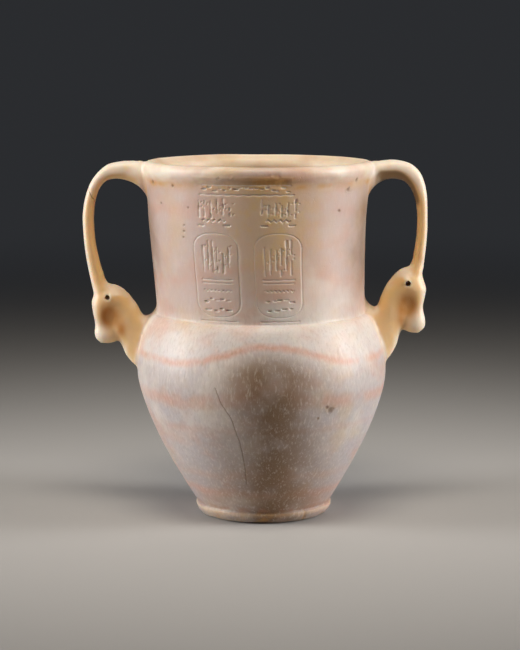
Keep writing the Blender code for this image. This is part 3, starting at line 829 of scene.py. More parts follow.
def cylinder_place(points):
    """Turn from the front, distance from the wandering axis, and height of each point."""
    x = points[:, 0] - axis_x(points[:, 2])
    return np.arctan2(x, -points[:, 1]), np.hypot(x, points[:, 1]), points[:, 2]


def draw(seed, index):
    """Repeatable number from 0 to 1."""
    value = math.sin(12.9898 * seed + 78.233 * index) * 43758.5453
    return value - math.floor(value)


def value_noise(points, size, seed=0):
    """Smooth noise from -1 to 1 with features of this size."""
    place = points / size
    cell = np.floor(place).astype(np.int64)
    share = place - cell
    share = share * share * (3 - 2 * share)
    total = np.zeros(len(points))
    for corner in range(8):
        offset = np.array([corner & 1, corner >> 1 & 1, corner >> 2 & 1])
        key = (cell + offset) @ np.array([73856093, 19349663, 83492791]) + 2654435761 * (seed + 1)
        key = (key ^ (key >> 13)) * 1274126177 & 0xFFFFFFFF
        level = ((key ^ (key >> 16)) & 0xFFFF) / 32767.5 - 1
        weight = np.prod(np.where(offset, share, 1 - share), axis=1)
        total += weight * level
    return total


def rough_noise(points, size, seed=0):
    return (
        value_noise(points, size, seed)
        + 0.5 * value_noise(points, 0.5 * size, seed + 7)
        + 0.25 * value_noise(points, 0.25 * size, seed + 13)
    ) / 1.75


def stroke_path(marks, points, width=1.0, depth=1.0):
    """Adds a stroke through these turns and heights, as shares of the usual width and depth."""
    for start, end in zip(points, points[1:]):
        marks.append((*start, *end, 0.5 * STROKE_WIDTH * width, STROKE_DEPTH * depth))


def field_strokes(marks, middle, width, foot, top, count, seed, lean=0.10):
    """Row of worn upright marks, lumpy and a little bent, with small pecks between them."""
    radius = float(outer_radius(0.5 * (foot + top)))
    half = 0.5 * width / radius
    pitch = 2 * half / count
    for k in range(count):
        at = middle - half + pitch * (k + 0.5 + 0.24 * (draw(seed, k) - 0.5))
        low = blend(foot, top, 0.20 * draw(seed + 1, k))
        high = blend(foot, top, 1 - 0.25 * draw(seed + 2, k))
        tilt = lean * pitch * (2 * draw(seed + 3, k) - 1)
        bow = 0.12 * pitch * (draw(seed + 4, k) - 0.5)
        spots = []
        for row in np.linspace(0, 1, 6):
            wander = 0.07 * pitch * (draw(seed + 5, 7 * k + row) - 0.5)
            turn = at + tilt * (row - 0.5) + bow * math.sin(math.pi * row) + wander
            spots.append((turn, blend(low, high, row)))
        for piece, (start, end) in enumerate(zip(spots, spots[1:])):
            thick = 0.8 + 1.5 * draw(seed + 6, 11 * k + piece) ** 2
            deep = 0.6 + 1.1 * draw(seed + 7, 13 * k + piece)
            if draw(seed + 8, 17 * k + piece) > 0.12:
                stroke_path(marks, [start, end], thick, deep)
        for peck in range(2):
            row = 0.15 + 0.7 * draw(seed + 9 + peck, k)
            place = (at + 0.46 * pitch, blend(foot, top, row))
            stroke_path(marks, [place, (place[0] + 0.1 * pitch, place[1] + 0.0004)], 1.1, 1.0)


def lumps(marks, middle, width, foot, height, count, seed):
    """Row of short level dabs of uneven length and level."""
    half = 0.5 * width / float(outer_radius(foot))
    pitch = 2 * half / count
    for k in range(count):
        at = middle - half + pitch * (k + 0.3 + 0.4 * draw(seed, k))
        level = foot + height * blend(0.15, 0.75, draw(seed + 1, k))
        length = width / count * blend(0.3, 0.8, draw(seed + 2, k))
        level_stroke(marks, at, length, level, strength=blend(0.9, 1.8, draw(seed + 3, k)))


def level_stroke(marks, middle, width, z, waves=0, height=0.0, strength=1.0):
    """Level stroke, straight or in small waves."""
    half = 0.5 * width / float(outer_radius(z))
    count = max(6, 4 * waves)
    points = []
    for k in range(count + 1):
        along = 2 * k / count - 1
        lift = height * math.sin(0.5 * math.pi * k) if waves else 0.00015 * (-1) ** k
        points.append((middle + half * along, z + lift))
    stroke_path(marks, points, strength, strength)


def frame_ring(middle, grow):
    """Tall frame with straight sides and round ends, so much larger all round."""
    half_turn = (0.5 * PANEL_WIDTH + grow) / NECK_BASE_RADIUS
    half_height = 0.5 * (PANEL_TOP - PANEL_FOOT) - 1.5 * STROKE_WIDTH + grow
    centre_z = 0.5 * (PANEL_TOP + PANEL_FOOT) + 1.5 * STROKE_WIDTH
    ring = []
    for k in range(65):
        turn = 2 * math.pi * k / 64
        across = math.copysign(abs(math.cos(turn)) ** 0.80, math.cos(turn))
        rise = half_height - FRAME_CAP + FRAME_CAP * abs(math.sin(turn)) ** 0.85
        ring.append((middle + half_turn * across, centre_z + math.copysign(rise, math.sin(turn))))
    return ring + ring[:1]


def neck_marks():
    """Strokes on the neck: start turn and height, end turn and height, half width, depth."""
    marks = []
    offset = 0.5 * (PANEL_WIDTH + PANEL_GAP) / NECK_BASE_RADIUS
    height = PANEL_TOP - PANEL_FOOT
    for side, seed in ((-1, 20), (1, 60)):
        middle = PANEL_TURN + side * offset
        stroke_path(marks, frame_ring(middle, 0.0), 0.85, 0.65)
        level_stroke(marks, middle, 0.84 * PANEL_WIDTH, PANEL_FOOT, strength=1.1)
        foot = PANEL_FOOT
        low, high = foot + 0.52 * height, foot + 0.92 * height
        field_strokes(marks, middle, 0.68 * PANEL_WIDTH, low, high, 6, seed)
        level_stroke(marks, middle, 0.68 * PANEL_WIDTH, foot + 0.475 * height, strength=1.2)
        level_stroke(marks, middle, 0.66 * PANEL_WIDTH, foot + 0.435 * height, strength=0.9)
        level_stroke(marks, middle, 0.62 * PANEL_WIDTH, foot + 0.35 * height, 7, 0.0009, 0.9)
        lumps(marks, middle, 0.62 * PANEL_WIDTH, foot + 0.20 * height, 0.08 * height, 5, seed + 7)
        lumps(marks, middle, 0.58 * PANEL_WIDTH, foot + 0.10 * height, 0.07 * height, 4, seed + 8)
        top = GROUP_FOOT + GROUP_HEIGHT
        width = 0.86 * PANEL_WIDTH
        field_strokes(marks, middle, width, GROUP_FOOT + 0.3 * GROUP_HEIGHT, top, 6, seed + 11, 0.05)
        level_stroke(marks, middle, 0.6 * width, GROUP_FOOT + 0.2 * GROUP_HEIGHT, 4, 0.001, 1.3)
        for end in (-1, 1):
            tick = middle + end * 0.36 * width / NECK_TOP_RADIUS
            level_stroke(marks, tick, 0.14 * width, GROUP_FOOT + 0.02 * GROUP_HEIGHT, strength=1.5)
    level_stroke(marks, PANEL_TURN, BAND_LENGTH, BAND_FOOT - 1.5 * STROKE_WIDTH, 9, 0.0003, 1.2)
    level_stroke(marks, PANEL_TURN, 0.94 * BAND_LENGTH, BAND_FOOT + BAND_HEIGHT, 9, 0.0002, 0.8)
    lumps(marks, PANEL_TURN, 0.94 * BAND_LENGTH, BAND_FOOT, BAND_HEIGHT, 17, 91)
    return np.array(marks)


def crack_marks():
    points = []
    for (turn_a, z_a), (turn_b, z_b) in zip(CRACK, CRACK[1:]):
        for share in np.linspace(0, 1, 6)[:-1]:
            sway = 0.35 * (draw(5, len(points)) - 0.5)
            points.append((math.radians(blend(turn_a, turn_b, share) + sway), blend(z_a, z_b, share)))
    marks = []
    stroke_path(marks, points, CRACK_WIDTH / STROKE_WIDTH, CRACK_DEPTH / STROKE_DEPTH)
    return np.array(marks)


def pit_places():
    turn, z = np.radians([pit[0] for pit in PITS]), np.array([pit[1] for pit in PITS])
    r = outer_radius(z)
    return np.stack([axis_x(z) + r * np.sin(turn), -r * np.cos(turn), z], axis=-1)


NECK_MARKS = neck_marks()
CRACK_MARKS = crack_marks()
PIT_PLACES = pit_places()


def segment_gap(from_x, from_z, run, rise):
    """Distance from a segment with this run and rise, for places given from its start."""
    share = np.clip((from_x * run + from_z * rise) / (run * run + rise * rise), 0, 1)
    return np.hypot(from_x - share * run, from_z - share * rise)


def mark_field(points, marks):
    """Depth of the strokes at each point of the outside, and the distance to the nearest."""
    turn, r, z = cylinder_place(points)
    depth = np.zeros(len(points))
    distance = np.full(len(points), 0.02)
    turns, heights = marks[:, [0, 2]], marks[:, [1, 3]]
    region = (turn > turns.min() - 0.1) & (turn < turns.max() + 0.1)
    region &= (z > heights.min() - 0.008) & (z < heights.max() + 0.008)
    region &= r > outer_radius(z) - 0.4 * NECK_WALL
    scale, up = r[region], z[region]
    along = turn[region] * scale
    best, nearest = np.zeros(len(up)), np.full(len(up), 0.02)
    for turn_a, z_a, turn_b, z_b, half_width, deep in marks:
        gap = segment_gap(along - turn_a * scale, up - z_a, (turn_b - turn_a) * scale, z_b - z_a)
        best = np.maximum(best, deep * np.clip(1 - (gap / half_width) ** 2, 0, 1))
        nearest = np.minimum(nearest, np.maximum(gap - half_width, 0))
    depth[region] = best
    distance[region] = nearest
    return depth, distance


def pit_field(points):
    """Depth and stain of the pits, and the distance to the nearest pit's edge."""
    depth, stain = np.zeros(len(points)), np.zeros(len(points))
    distance = np.full(len(points), 0.02)
    uneven = 1 + 0.35 * value_noise(points, 0.0022, 3)
    for place, (_, _, radius, deep) in zip(PIT_PLACES, PITS):
        gap = np.linalg.norm(points - place, axis=1)
        depth = np.maximum(depth, deep * np.clip(1 - (gap * uneven / radius) ** 2, 0, 1))
        stain = np.maximum(stain, (1 - ease(gap * uneven / (2.0 * radius))) ** 1.5)
        distance = np.minimum(distance, np.maximum(gap - radius, 0))
    return depth, stain, distance


def head_field(points, spots):
    """How close each point lies to such a place on either head, from 0 to 1."""
    left, right, half_width, half_height = spots
    share = np.zeros(len(points))
    for handle, (inward, down) in ((LEFT, left), (RIGHT, right)):
        brow_x, brow_z = brow_point(handle)
        across = points[:, 0] - handle.side * (brow_x - inward * handle.head_length)
        up = points[:, 2] - (brow_z - down * handle.head_length)
        share = np.maximum(share, np.exp(-((across / half_width) ** 2) - (up / half_height) ** 2))
    return share


def eye_gap(points):
    """Distance of each point from the nearest eye's axis."""
    gap = np.full(len(points), 1.0)
    for handle in (LEFT, RIGHT):
        brow_x, brow_z = brow_point(handle)
        across = points[:, 0] - handle.side * (brow_x - handle.eye_inset)
        gap = np.minimum(gap, np.hypot(across, points[:, 2] - brow_z + handle.eye_drop))
    return gap


def break_field(points):
    """Depth of the break's line as a share, and the lighter chip beside it."""
    (x_a, z_a), (x_b, z_b) = BREAK
    wavy = points[:, 0] + 0.0010 * value_noise(points, 0.003, 61)
    gap = segment_gap(wavy - x_a, points[:, 2] - z_a, x_b - x_a, z_b - z_a)
    chip = np.hypot(points[:, 0] - x_b, points[:, 2] - z_b + 0.002) / 0.0038
    chip *= 1 + 0.3 * value_noise(points, 0.003, 62)
    front = points[:, 1] < 0.001
    line = np.clip(1 - gap / BREAK_WIDTH, 0, 1)
    return np.where(front, line, 0.0), np.where(front, 1 - ease(chip), 0.0)


def bar_facet(points):
    """How far the lower half of the right handle's front is cut back, from 0 to 1."""
    wall_x = NECK_TOP_RADIUS + axis_out(RIGHT, HEIGHT - FILLET_DROP)
    inner_x, outer_x = wall_x + RIGHT.crown_run, wall_x + RIGHT.top_run
    bend_z = HEIGHT - BEND_DROP
    x, z = points[:, 0], points[:, 2]
    inner_reach = RIGHT.reach - RIGHT.bar - inner_x
    inner_rise = HEIGHT - ARCH_THICKNESS - bend_z
    high = np.maximum(z - bend_z, 0)
    within = np.hypot(np.maximum(x - inner_x, 0) / inner_reach, high / inner_rise) - 1
    within *= 0.5 * (inner_reach + inner_rise)
    share = np.clip(within / FACET_HEIGHT, 0, 1)
    along = ease((x - wall_x - 0.002) / 0.009) * ease((z - bend_z - 0.012) / 0.012)
    return np.where(points[:, 1] < 0, (1 - share) * along, 0.0)


def lip_chip(turn):
    """How much of the lip is lost at this turn from the front, from 0 to 1."""
    rise = ease((turn - LIP_CHIP_START) / LIP_CHIP_FADE)
    fall = ease((LIP_CHIP_END - turn) / LIP_CHIP_FADE)
    return np.minimum(rise, fall)


def lip_loss(points):
    """Depth of stone lost under the lip's edge."""
    turn, r, z = cylinder_place(points)
    uneven = rough_noise(points, 0.016, 21)
    middle = LIP_FOOT - 0.0004 + 0.0022 * uneven
    reach = 0.0036 * (1 + 0.35 * value_noise(points, 0.024, 23))
    profile = np.clip(1 - ((z - middle) / reach) ** 2, 0, 1) ** 1.3
    share = lip_chip(turn) * (0.45 + 0.55 * ease((turn + 0.15) / 0.25))
    loss = LIP_CHIP_DEPTH * share * profile * (0.85 + 0.5 * uneven)
    nibble = np.clip(rough_noise(points, 0.006, 33) - 0.28, 0, 1) * 0.0028
    edge = np.clip(1 - np.abs(z - (LIP_FOOT + 0.004)) / 0.006, 0, 1)
    outside = r > outer_radius(z) - 0.003
    return np.where(outside, np.maximum(loss, nibble * edge), 0.0)


def foot_loss(points):
    """Depth of stone lost from the foot."""
    turn, r, z = cylinder_place(points)
    foot = (z < FOOT_HEIGHT) & (r > BASE_RADIUS - 0.004)
    uneven = rough_noise(points, 0.012, 41)
    front = 0.35 + 0.65 * ease((np.cos(turn - math.radians(25)) + 0.1) / 0.8)
    wear_and_highlight = 0.0009 * front * np.clip(uneven + 0.15, 0, 1)
    notch = 0.0011 * np.clip(1 - np.abs(turn - math.radians(37.5)) / math.radians(1.4), 0, 1)
    return np.where(foot, wear_and_highlight + notch + 0.00025 * value_noise(points, 0.0035, 43), 0.0)


def build_jar():
    jar = vessel()
    wall = core()
    for name, handle in (("left", LEFT), ("right", RIGHT)):
        ribs = bar_ribs(handle) + head_ribs(handle)
        bar = loft(name + "_bar", handle, ribs, 2.3, 34, 0.0018, dome=True)
        neck = loft(name + "_neck", handle, neck_ribs(handle), 2.2, 52, 0.0022)
        combine(bar, neck, "UNION")
        for mass in MASSES[name]:
            combine(bar, oval(handle, *mass), "UNION")
        combine(bar, loft(name + "_web", handle, web_ribs(handle), 2.2, 36, 0.0018), "UNION")
        combine(bar, add_object("core", wall.data.copy()), "DIFFERENCE")
        combine(jar, bar, "UNION")
        for face_side in (-1, 1):
            combine(jar, eye_pin(handle, face_side), "DIFFERENCE")
    bpy.data.objects.remove(wall)
    return jar


def edge_target(joints):
    """Function that gives the longest edge wanted at each point."""

    def target(p):
        turn, r, z = cylinder_place(p)
        skin = outer_radius(z)
        outside = r > skin - 0.4 * NECK_WALL
        size = np.where(outside, COARSE_EDGE, INSIDE_EDGE)

        def finer(where, edge):
            return np.where(where, np.minimum(size, edge), size)

        size = finer(outside & (np.abs(z - LIP_FOOT - 0.004) < 0.007), LIP_EDGE)
        size = finer(outside & (z < FOOT_HEIGHT + 0.003) & (z > 0.0005), FOOT_EDGE)
        size = finer(r > skin + 0.004, HANDLE_EDGE)
        size = np.minimum(size, CARVED_EDGE + 1.4 * mark_field(p, NECK_MARKS)[1])
        size = np.minimum(size, CARVED_EDGE + 1.1 * mark_field(p, CRACK_MARKS)[1])
        size = np.minimum(size, PIT_EDGE + 0.8 * pit_field(p)[2])
        level = np.hypot(r - NECK_BASE_RADIUS, z - NECK_BASE_HEIGHT)
        size = finer(outside, CREASE_EDGE + 1.2 * np.maximum(level - 0.003, 0))
        broken = np.hypot(p[:, 0] - BREAK[1][0], p[:, 2] - BREAK[1][1] - 0.005) < 0.010
        size = finer(broken & (p[:, 1] < 0), BREAK_EDGE)
        size = finer(bar_facet(p) > 0.02, FACET_EDGE)
        size = finer(outside & (lip_chip(turn) > 0) & (np.abs(z - LIP_FOOT) < 0.0065), CHIP_EDGE)
        near_eye = np.maximum(np.minimum(size, 0.0003 + 0.35 * eye_gap(p)), EYE_EDGE)
        size = np.where(size < JOINT_EDGE, size, near_eye)
        near = nearest_distance(p, joints, NEAR)
        return finer(outside, JOINT_EDGE + 0.5 * np.maximum(near - 0.004, 0))

    return target


def soften(points, faces, gap, crease_gap):
    """The points with the seams rounded, but not the eyes, and the right arch's front cut back."""
    _, r, z = cylinder_place(points)
    reach = np.where(r - outer_radius(z) > 0.006, 0.0075, 0.0045)
    weight = (1 - ease((gap - 0.002) / reach)) * ease((eye_gap(points) - 0.0034) / 0.0025)
    weight = np.maximum(weight, 0.12 * (1 - ease((crease_gap - 0.001) / 0.004)))
    points = relax(points, faces, weight, JOINT_ROUNDS)
    facet = bar_facet(points)
    points[:, 1] += FACET_DEPTH * facet
    return points, facet


def crack_side(turn, r, z):
    """Paler stone on one side of the long crack."""
    turns = [math.radians(at) for at, _ in CRACK][::-1]
    aside = (np.interp(z, [at for _, at in CRACK][::-1], turns) - turn) * r
    pale = np.where(aside > 0, np.exp(-(aside / 0.010) ** 2), 0.0)
    return pale * ease((z - CRACK[-1][1]) / 0.02) * ease((CRACK[0][1] - z) / 0.02)


def finish_jar(jar):
    """Refines, softens and carves the jar, and stores what the material needs at each point."""
    points, faces = mesh_arrays(jar.data)
    bpy.data.objects.remove(jar)
    seam = seam_points(points, faces)
    _, seam_r, seam_z = cylinder_place(seam)
    on_crease = np.hypot(seam_r - NECK_BASE_RADIUS, seam_z - NECK_BASE_HEIGHT) < 0.002
    joints = seam[~on_crease]

    points, faces = refine(points, faces, edge_target(joints), 7)
    points = true_round(points)
    gap = nearest_distance(points, joints, NEAR)
    crease_gap = nearest_distance(points, seam[on_crease], NEAR)
    points, facet = soften(points, faces, gap, crease_gap)

    turn, r, z = cylinder_place(points)
    apart = r - outer_radius(z)
    normals = vertex_normals(points, faces)
    beyond = ease((apart - HANDLE_START) / HANDLE_BLEND)
    close = ease((apart - 0.001) / 0.003)
    on_vessel = (1 - beyond) * (1 - 0.7 * (1 - ease(gap / 0.006)))
    break_line, break_chip = break_field(points)
    from_eye = eye_gap(points)
    cheek = head_field(points, CHEEKS) * beyond
    strokes = mark_field(points, NECK_MARKS)[0]
    crack = mark_field(points, CRACK_MARKS)[0]
    pits, stain, _ = pit_field(points)
    missing = lip_loss(points) * on_vessel
    loss = missing + foot_loss(points) * on_vessel
    hollow = strokes * (0.85 + 0.3 * value_noise(points, 0.004, 54)) + crack + pits + loss
    hollow += CHEEK_DEPTH * cheek * np.abs(normals[:, 1])
    hollow += BREAK_DEPTH * np.maximum(break_line, break_chip) * beyond
    for swell, size, seed in UNEVEN:
        hollow -= swell * value_noise(points, size, seed)
    values = {
        "carved": strokes / STROKE_DEPTH,
        "stain": stain,
        "crack": crack / CRACK_DEPTH,
        "cheek": cheek,
        # Where the right arch's lower front is cut back, for its painted shade
        "facet": ease(facet / 0.35),
        "inner": ease((-apart - 0.003) / 0.003),
        "break_line": break_line * beyond,
        "break_chip": break_chip * beyond,
        "eye_rim_highlight": np.exp(-((from_eye - 0.62 * EYE_DIAMETER) / 0.0009) ** 2) * beyond,
        "pupil_shade": (1 - ease((from_eye - 0.42 * EYE_DIAMETER) / 0.0005)) * beyond,
        "lost": np.clip(loss / LIP_CHIP_DEPTH, 0, 1),
        "beyond": np.where(z < 0.5 * (NECK_BASE_HEIGHT + HEIGHT), close, beyond),
        "joint": 1 - ease(gap / 0.010),
        "pale": crack_side(turn, r, z),
    }
    points = points - normals * hollow[:, None]
    points[:, 2] = np.clip(points[:, 2], 0, None)
    points = relax(points, faces, ease(missing / CHIP_FULL), CHIP_ROUNDS)
    values["crease"] = head_field(points, CREASE_SHADOWS) * beyond
    values["muzzle_highlight"] = head_field(points, MUZZLE_HIGHLIGHTS) * beyond
    return make_piece(points, faces, values)


def true_round(points):
    """The same points with those of the vessel moved from its flat facets onto the circle."""
    turn, r, z = cylinder_place(points)
    pitch = 2 * math.pi / COLUMNS
    from_middle = (turn / pitch - np.floor(turn / pitch) - 0.5) * pitch
    grown = r * np.cos(from_middle) / math.cos(0.5 * pitch)
    grown = np.where(r < outer_radius(z) + 0.003, grown, r)
    centre = axis_x(z)
    rounded = points.copy()
    rounded[:, 0] = centre + grown * np.sin(turn)
    rounded[:, 1] = -grown * np.cos(turn)
    return rounded


def seam_points(points, faces):
    """Points where two of the joined forms meet: edges that turn sharply inwards."""
    edges, of_face = edge_table(faces)
    a, b, c = points[faces[:, 0]], points[faces[:, 1]], points[faces[:, 2]]
    normal = np.cross(b - a, c - a)
    normal /= np.maximum(np.linalg.norm(normal, axis=1, keepdims=True), 1e-15)
    centre = (a + b + c) / 3
    order = np.argsort(of_face.ravel(), kind="stable")
    owners = (order // 3).reshape(-1, 2)
    first, second = owners[:, 0], owners[:, 1]
    lean = ((centre[second] - centre[first]) * normal[first]).sum(axis=1)
    span = np.linalg.norm(centre[second] - centre[first], axis=1)
    bend = np.degrees(np.arccos(np.clip((normal[first] * normal[second]).sum(axis=1), -1, 1)))
    hollow = (lean > 0) & (bend > 14) & (span > 1e-6)
    middle = 0.5 * (points[edges[:, 0]] + points[edges[:, 1]])
    _, r, z = cylinder_place(middle)
    hollow &= (r > outer_radius(z) - 0.002) & (z > 0.03)
    hollow &= eye_gap(middle) > 0.7 * EYE_DIAMETER
    return middle[hollow]


def make_piece(points, faces, values):
    mesh = bpy.data.meshes.new("jar_stone")
    mesh.from_pydata(points.tolist(), [], faces.tolist())
    mesh.shade_smooth()
    for name, value in values.items():
        mesh.attributes.new(name, "FLOAT", "POINT").data.foreach_set("value", value.astype(np.float32))
    return add_object("jar_stone", mesh)


class Graph:
    """Short names for the material nodes in use, and the colour laid on so far."""

    def __init__(self, material):
        self.tree = material.node_tree
        self.shader = self.tree.nodes["Principled BSDF"]
        self.color = None

    def node(self, kind, inputs, **settings):
        made = self.tree.nodes.new(kind)
        for name, value in settings.items():
            setattr(made, name, value)
        for key, value in inputs.items():
            self.feed(made.inputs[key], value)
        return made

    def feed(self, socket, value):
        if isinstance(value, bpy.types.NodeSocket):
            self.tree.links.new(value, socket)
        else:
            socket.default_value = value

    def math(self, operation, a, b=0.0):
        return self.node("ShaderNodeMath", {0: a, 1: b}, operation=operation).outputs[0]

    def add(self, a, b):
        return self.math("ADD", a, b)

    def minus(self, a, b):
        return self.math("SUBTRACT", a, b)

    def times(self, product, *others):
        for other in others:
            product = self.math("MULTIPLY", product, other)
        return product

    def place(self):
        return self.node("ShaderNodeTexCoord", {}).outputs["Object"]

    def split(self, vector):
        return self.node("ShaderNodeSeparateXYZ", {0: vector}).outputs[:]

    def stretch(self, vector, scale):
        return self.node("ShaderNodeVectorMath", {0: vector, 1: scale}, operation="MULTIPLY").outputs[0]

    def shift(self, vector, offset):
        return self.node("ShaderNodeVectorMath", {0: vector, 1: offset}, operation="ADD").outputs[0]

    def noise(self, vector, scale, detail=3.0, roughness=0.55, output="Fac"):
        inputs = {"Vector": vector, "Scale": scale, "Detail": detail, "Roughness": roughness}
        return self.node("ShaderNodeTexNoise", inputs).outputs[output]

    def cells(self, vector, scale):
        return self.node("ShaderNodeTexVoronoi", {"Vector": vector, "Scale": scale}).outputs["Distance"]

    def fade(self, value, start, end):
        """From 0 at start to 1 at end, smoothly. Start may be the larger."""
        inputs = {"Value": value, "From Min": start, "From Max": end}
        made = self.node("ShaderNodeMapRange", inputs, interpolation_type="SMOOTHSTEP", clamp=True)
        return made.outputs["Result"]

    def bump_at(self, value, middle, width):
        """1 at the middle, falling smoothly to 0 at this distance on both sides."""
        return self.fade(self.math("ABSOLUTE", self.minus(value, middle)), width, 0.0)

    def ramp(self, value, stops):
        made = self.node("ShaderNodeValToRGB", {0: value})
        while len(made.color_ramp.elements) < len(stops):
            made.color_ramp.elements.new(1.0)
        for element, (at, color) in zip(made.color_ramp.elements, stops):
            element.position = at
            element.color = (*color, 1.0)
        return made.outputs["Color"]

    def attribute(self, name):
        return self.node("ShaderNodeAttribute", {}, attribute_name=name).outputs["Fac"]

    def coat(self, tone, strength, *shares):
        """Lays a tone over the colour so far, as strong as the product of the shares."""
        share = self.times(*shares, strength)
        inputs = {0: share, 6: self.color, 7: (*tone, 1.0)}
        self.color = self.node("ShaderNodeMix", inputs, data_type="RGBA").outputs[2]

    def coat_marks(self, rows):
        for name, strength, tone in rows:
            self.coat(tone, strength, self.attribute(name))


def layer_height(graph, place):
    """Height in the stone's own layers, which wave up at the front of the shoulder."""
    x, y, z = graph.split(place)
    front = graph.fade(y, 0.02, -0.06)
    wave = graph.times(graph.bump_at(x, 0.004, 0.075), front, graph.fade(z, 0.085, 0.150), WAVE_RISE)
    wobble = graph.minus(graph.noise(graph.stretch(place, (1, 1, 0.4)), 26.0, 2.0), 0.5)
    fine = graph.minus(graph.noise(place, 95.0, 2.0), 0.5)
    height = graph.add(graph.minus(z, wave), graph.times(wobble, LAYER_WOBBLE))
    return graph.add(height, graph.times(fine, LAYER_FRAY))


def ground_tones(graph, place):
    """Ground colour by height in the block, clouds, rosy bands, and painted shade on the front middle of
    the body.
    """
    x, y, _ = graph.split(place)
    layer = layer_height(graph, place)
    graph.color = graph.ramp(graph.times(layer, 1 / HEIGHT), ZONES)
    for offset, upright, scale, (start, end), strength, tone in CLOUDS:
        cloud = graph.noise(graph.shift(graph.stretch(place, (1, 1, upright)), offset), scale)
        graph.coat(tone, strength, graph.fade(cloud, start, end))
    broken = graph.fade(graph.noise(place, 34.0), 0.28, 0.56)
    for middle, width, strength, tone in BANDS:
        graph.coat(tone, strength, graph.bump_at(layer, middle, width), broken)
    # Painted shade: the front middle of the body darkens where the light from the side lamps falls off
    front_shade = graph.times(graph.bump_at(x, FRONT_MIDDLE, FRONT_SHADE_WIDTH), graph.fade(y, 0.0, -0.05))
    uneven = graph.add(graph.times(graph.fade(graph.noise(place, 30.0), 0.32, 0.60), 0.40), 0.58)
    graph.coat(FRONT_SHADE_TONE, 1.0, front_shade, graph.fade(layer, *FRONT_SHADE_TOP), uneven)


def grain_tones(graph, place):
    """Fibrous grain, mostly upright, and fine flecks. Both are given back for the relief."""
    z = graph.split(place)[2]
    sway = graph.noise(place, 60.0, 2.0, 0.5, "Color")
    bent = graph.shift(place, graph.stretch(sway, (FIBRE_SWAY, FIBRE_SWAY, FIBRE_SWAY)))
    fibre = graph.noise(graph.stretch(bent, (1, 1, 0.24)), 560.0, 3.0, 0.65)
    on_body = graph.add(graph.times(graph.fade(z, *BODY_GRAIN), 0.75), 0.25)
    graph.coat(CHALK, 0.36, graph.fade(fibre, 0.50, 0.72), on_body)
    graph.coat(UMBER, 0.30, graph.fade(fibre, 0.50, 0.28), on_body)
    fleck = graph.noise(place, 900.0, 2.0, 0.6)
    graph.coat(CHALK, 0.18, graph.fade(fleck, 0.60, 0.76))
    return fibre, fleck


def handle_tones(graph, place, patch):
    """Painted glow in tan low on the handles and in gold on their inward faces, painted light in cream on
    their tops and outward faces, painted shade on the cut-back facet, the breaks, painted light and shade
    on the heads and eyes, and painted shade at the roots.
    """
    x, _, z = graph.split(place)
    normal_x, _, normal_z = graph.split(graph.node("ShaderNodeNewGeometry", {}).outputs["Normal"])
    outward = graph.times(normal_x, graph.math("SIGN", x))
    inner = graph.math("MAXIMUM", graph.fade(outward, 0.10, -0.55), graph.fade(normal_z, 0.0, -0.50))
    wear_and_highlight = graph.math("MAXIMUM", graph.fade(outward, 0.35, 0.90), graph.fade(normal_z, 0.25, 0.80))
    beyond, joint = graph.attribute("beyond"), graph.attribute("joint")
    # Painted glow of light through the thin handles in tan, strongest low down, and painted light in
    # cream on their tops
    graph.coat(TAN, 1.0, beyond, graph.add(graph.times(graph.fade(z, *LOW_GLOW_FADE), 0.80), 0.10))
    graph.coat(GOLD, 0.35, beyond, patch)
    graph.coat(CREAM, 0.60, beyond, graph.fade(z, *TOP_LIGHT_FADE))
    # Painted glow in gold on the handles' inward and downward faces, which the lamps don't reach
    graph.coat(GOLD, 0.75, beyond, inner)
    # Painted shade in dark brown on the cut-back lower front of the right arch, then the break's fresh
    # chip and dark line
    graph.coat_marks((("facet", 0.80, BARK), ("break_chip", 0.85, FRESH), ("break_line", 0.90, BARK)))
    # Painted highlight in cream on the handles' outward and upward faces
    graph.coat(CREAM, 0.75, beyond, wear_and_highlight)
    graph.coat_marks((("muzzle_highlight", 0.80, CREAM),))
    # Painted shade in the hollow cheeks, painted shadow in the creases behind the jaw, and a painted
    # highlight on the muzzles
    graph.coat(BROWN, 1.0, graph.fade(graph.attribute("cheek"), 0.0, 0.80))
    graph.coat_marks((("crease", 0.90, BROWN),))
    # Painted shade in amber and tan in the fillets where the handles meet the jar
    upper = graph.times(graph.fade(z, *UPPER_ROOT_TOP), graph.fade(z, *UPPER_ROOT_FOOT))
    graph.coat(AMBER, 0.60, joint, upper)
    graph.coat(TAN, 0.30, joint, graph.fade(z, *LOWER_ROOT_TOP))
    # Painted highlight on the rims of the eyes and painted shade in the drilled holes
    graph.coat_marks((("eye_rim_highlight", 0.45, CREAM), ("pupil_shade", 0.65, HOLE_SHADE)))


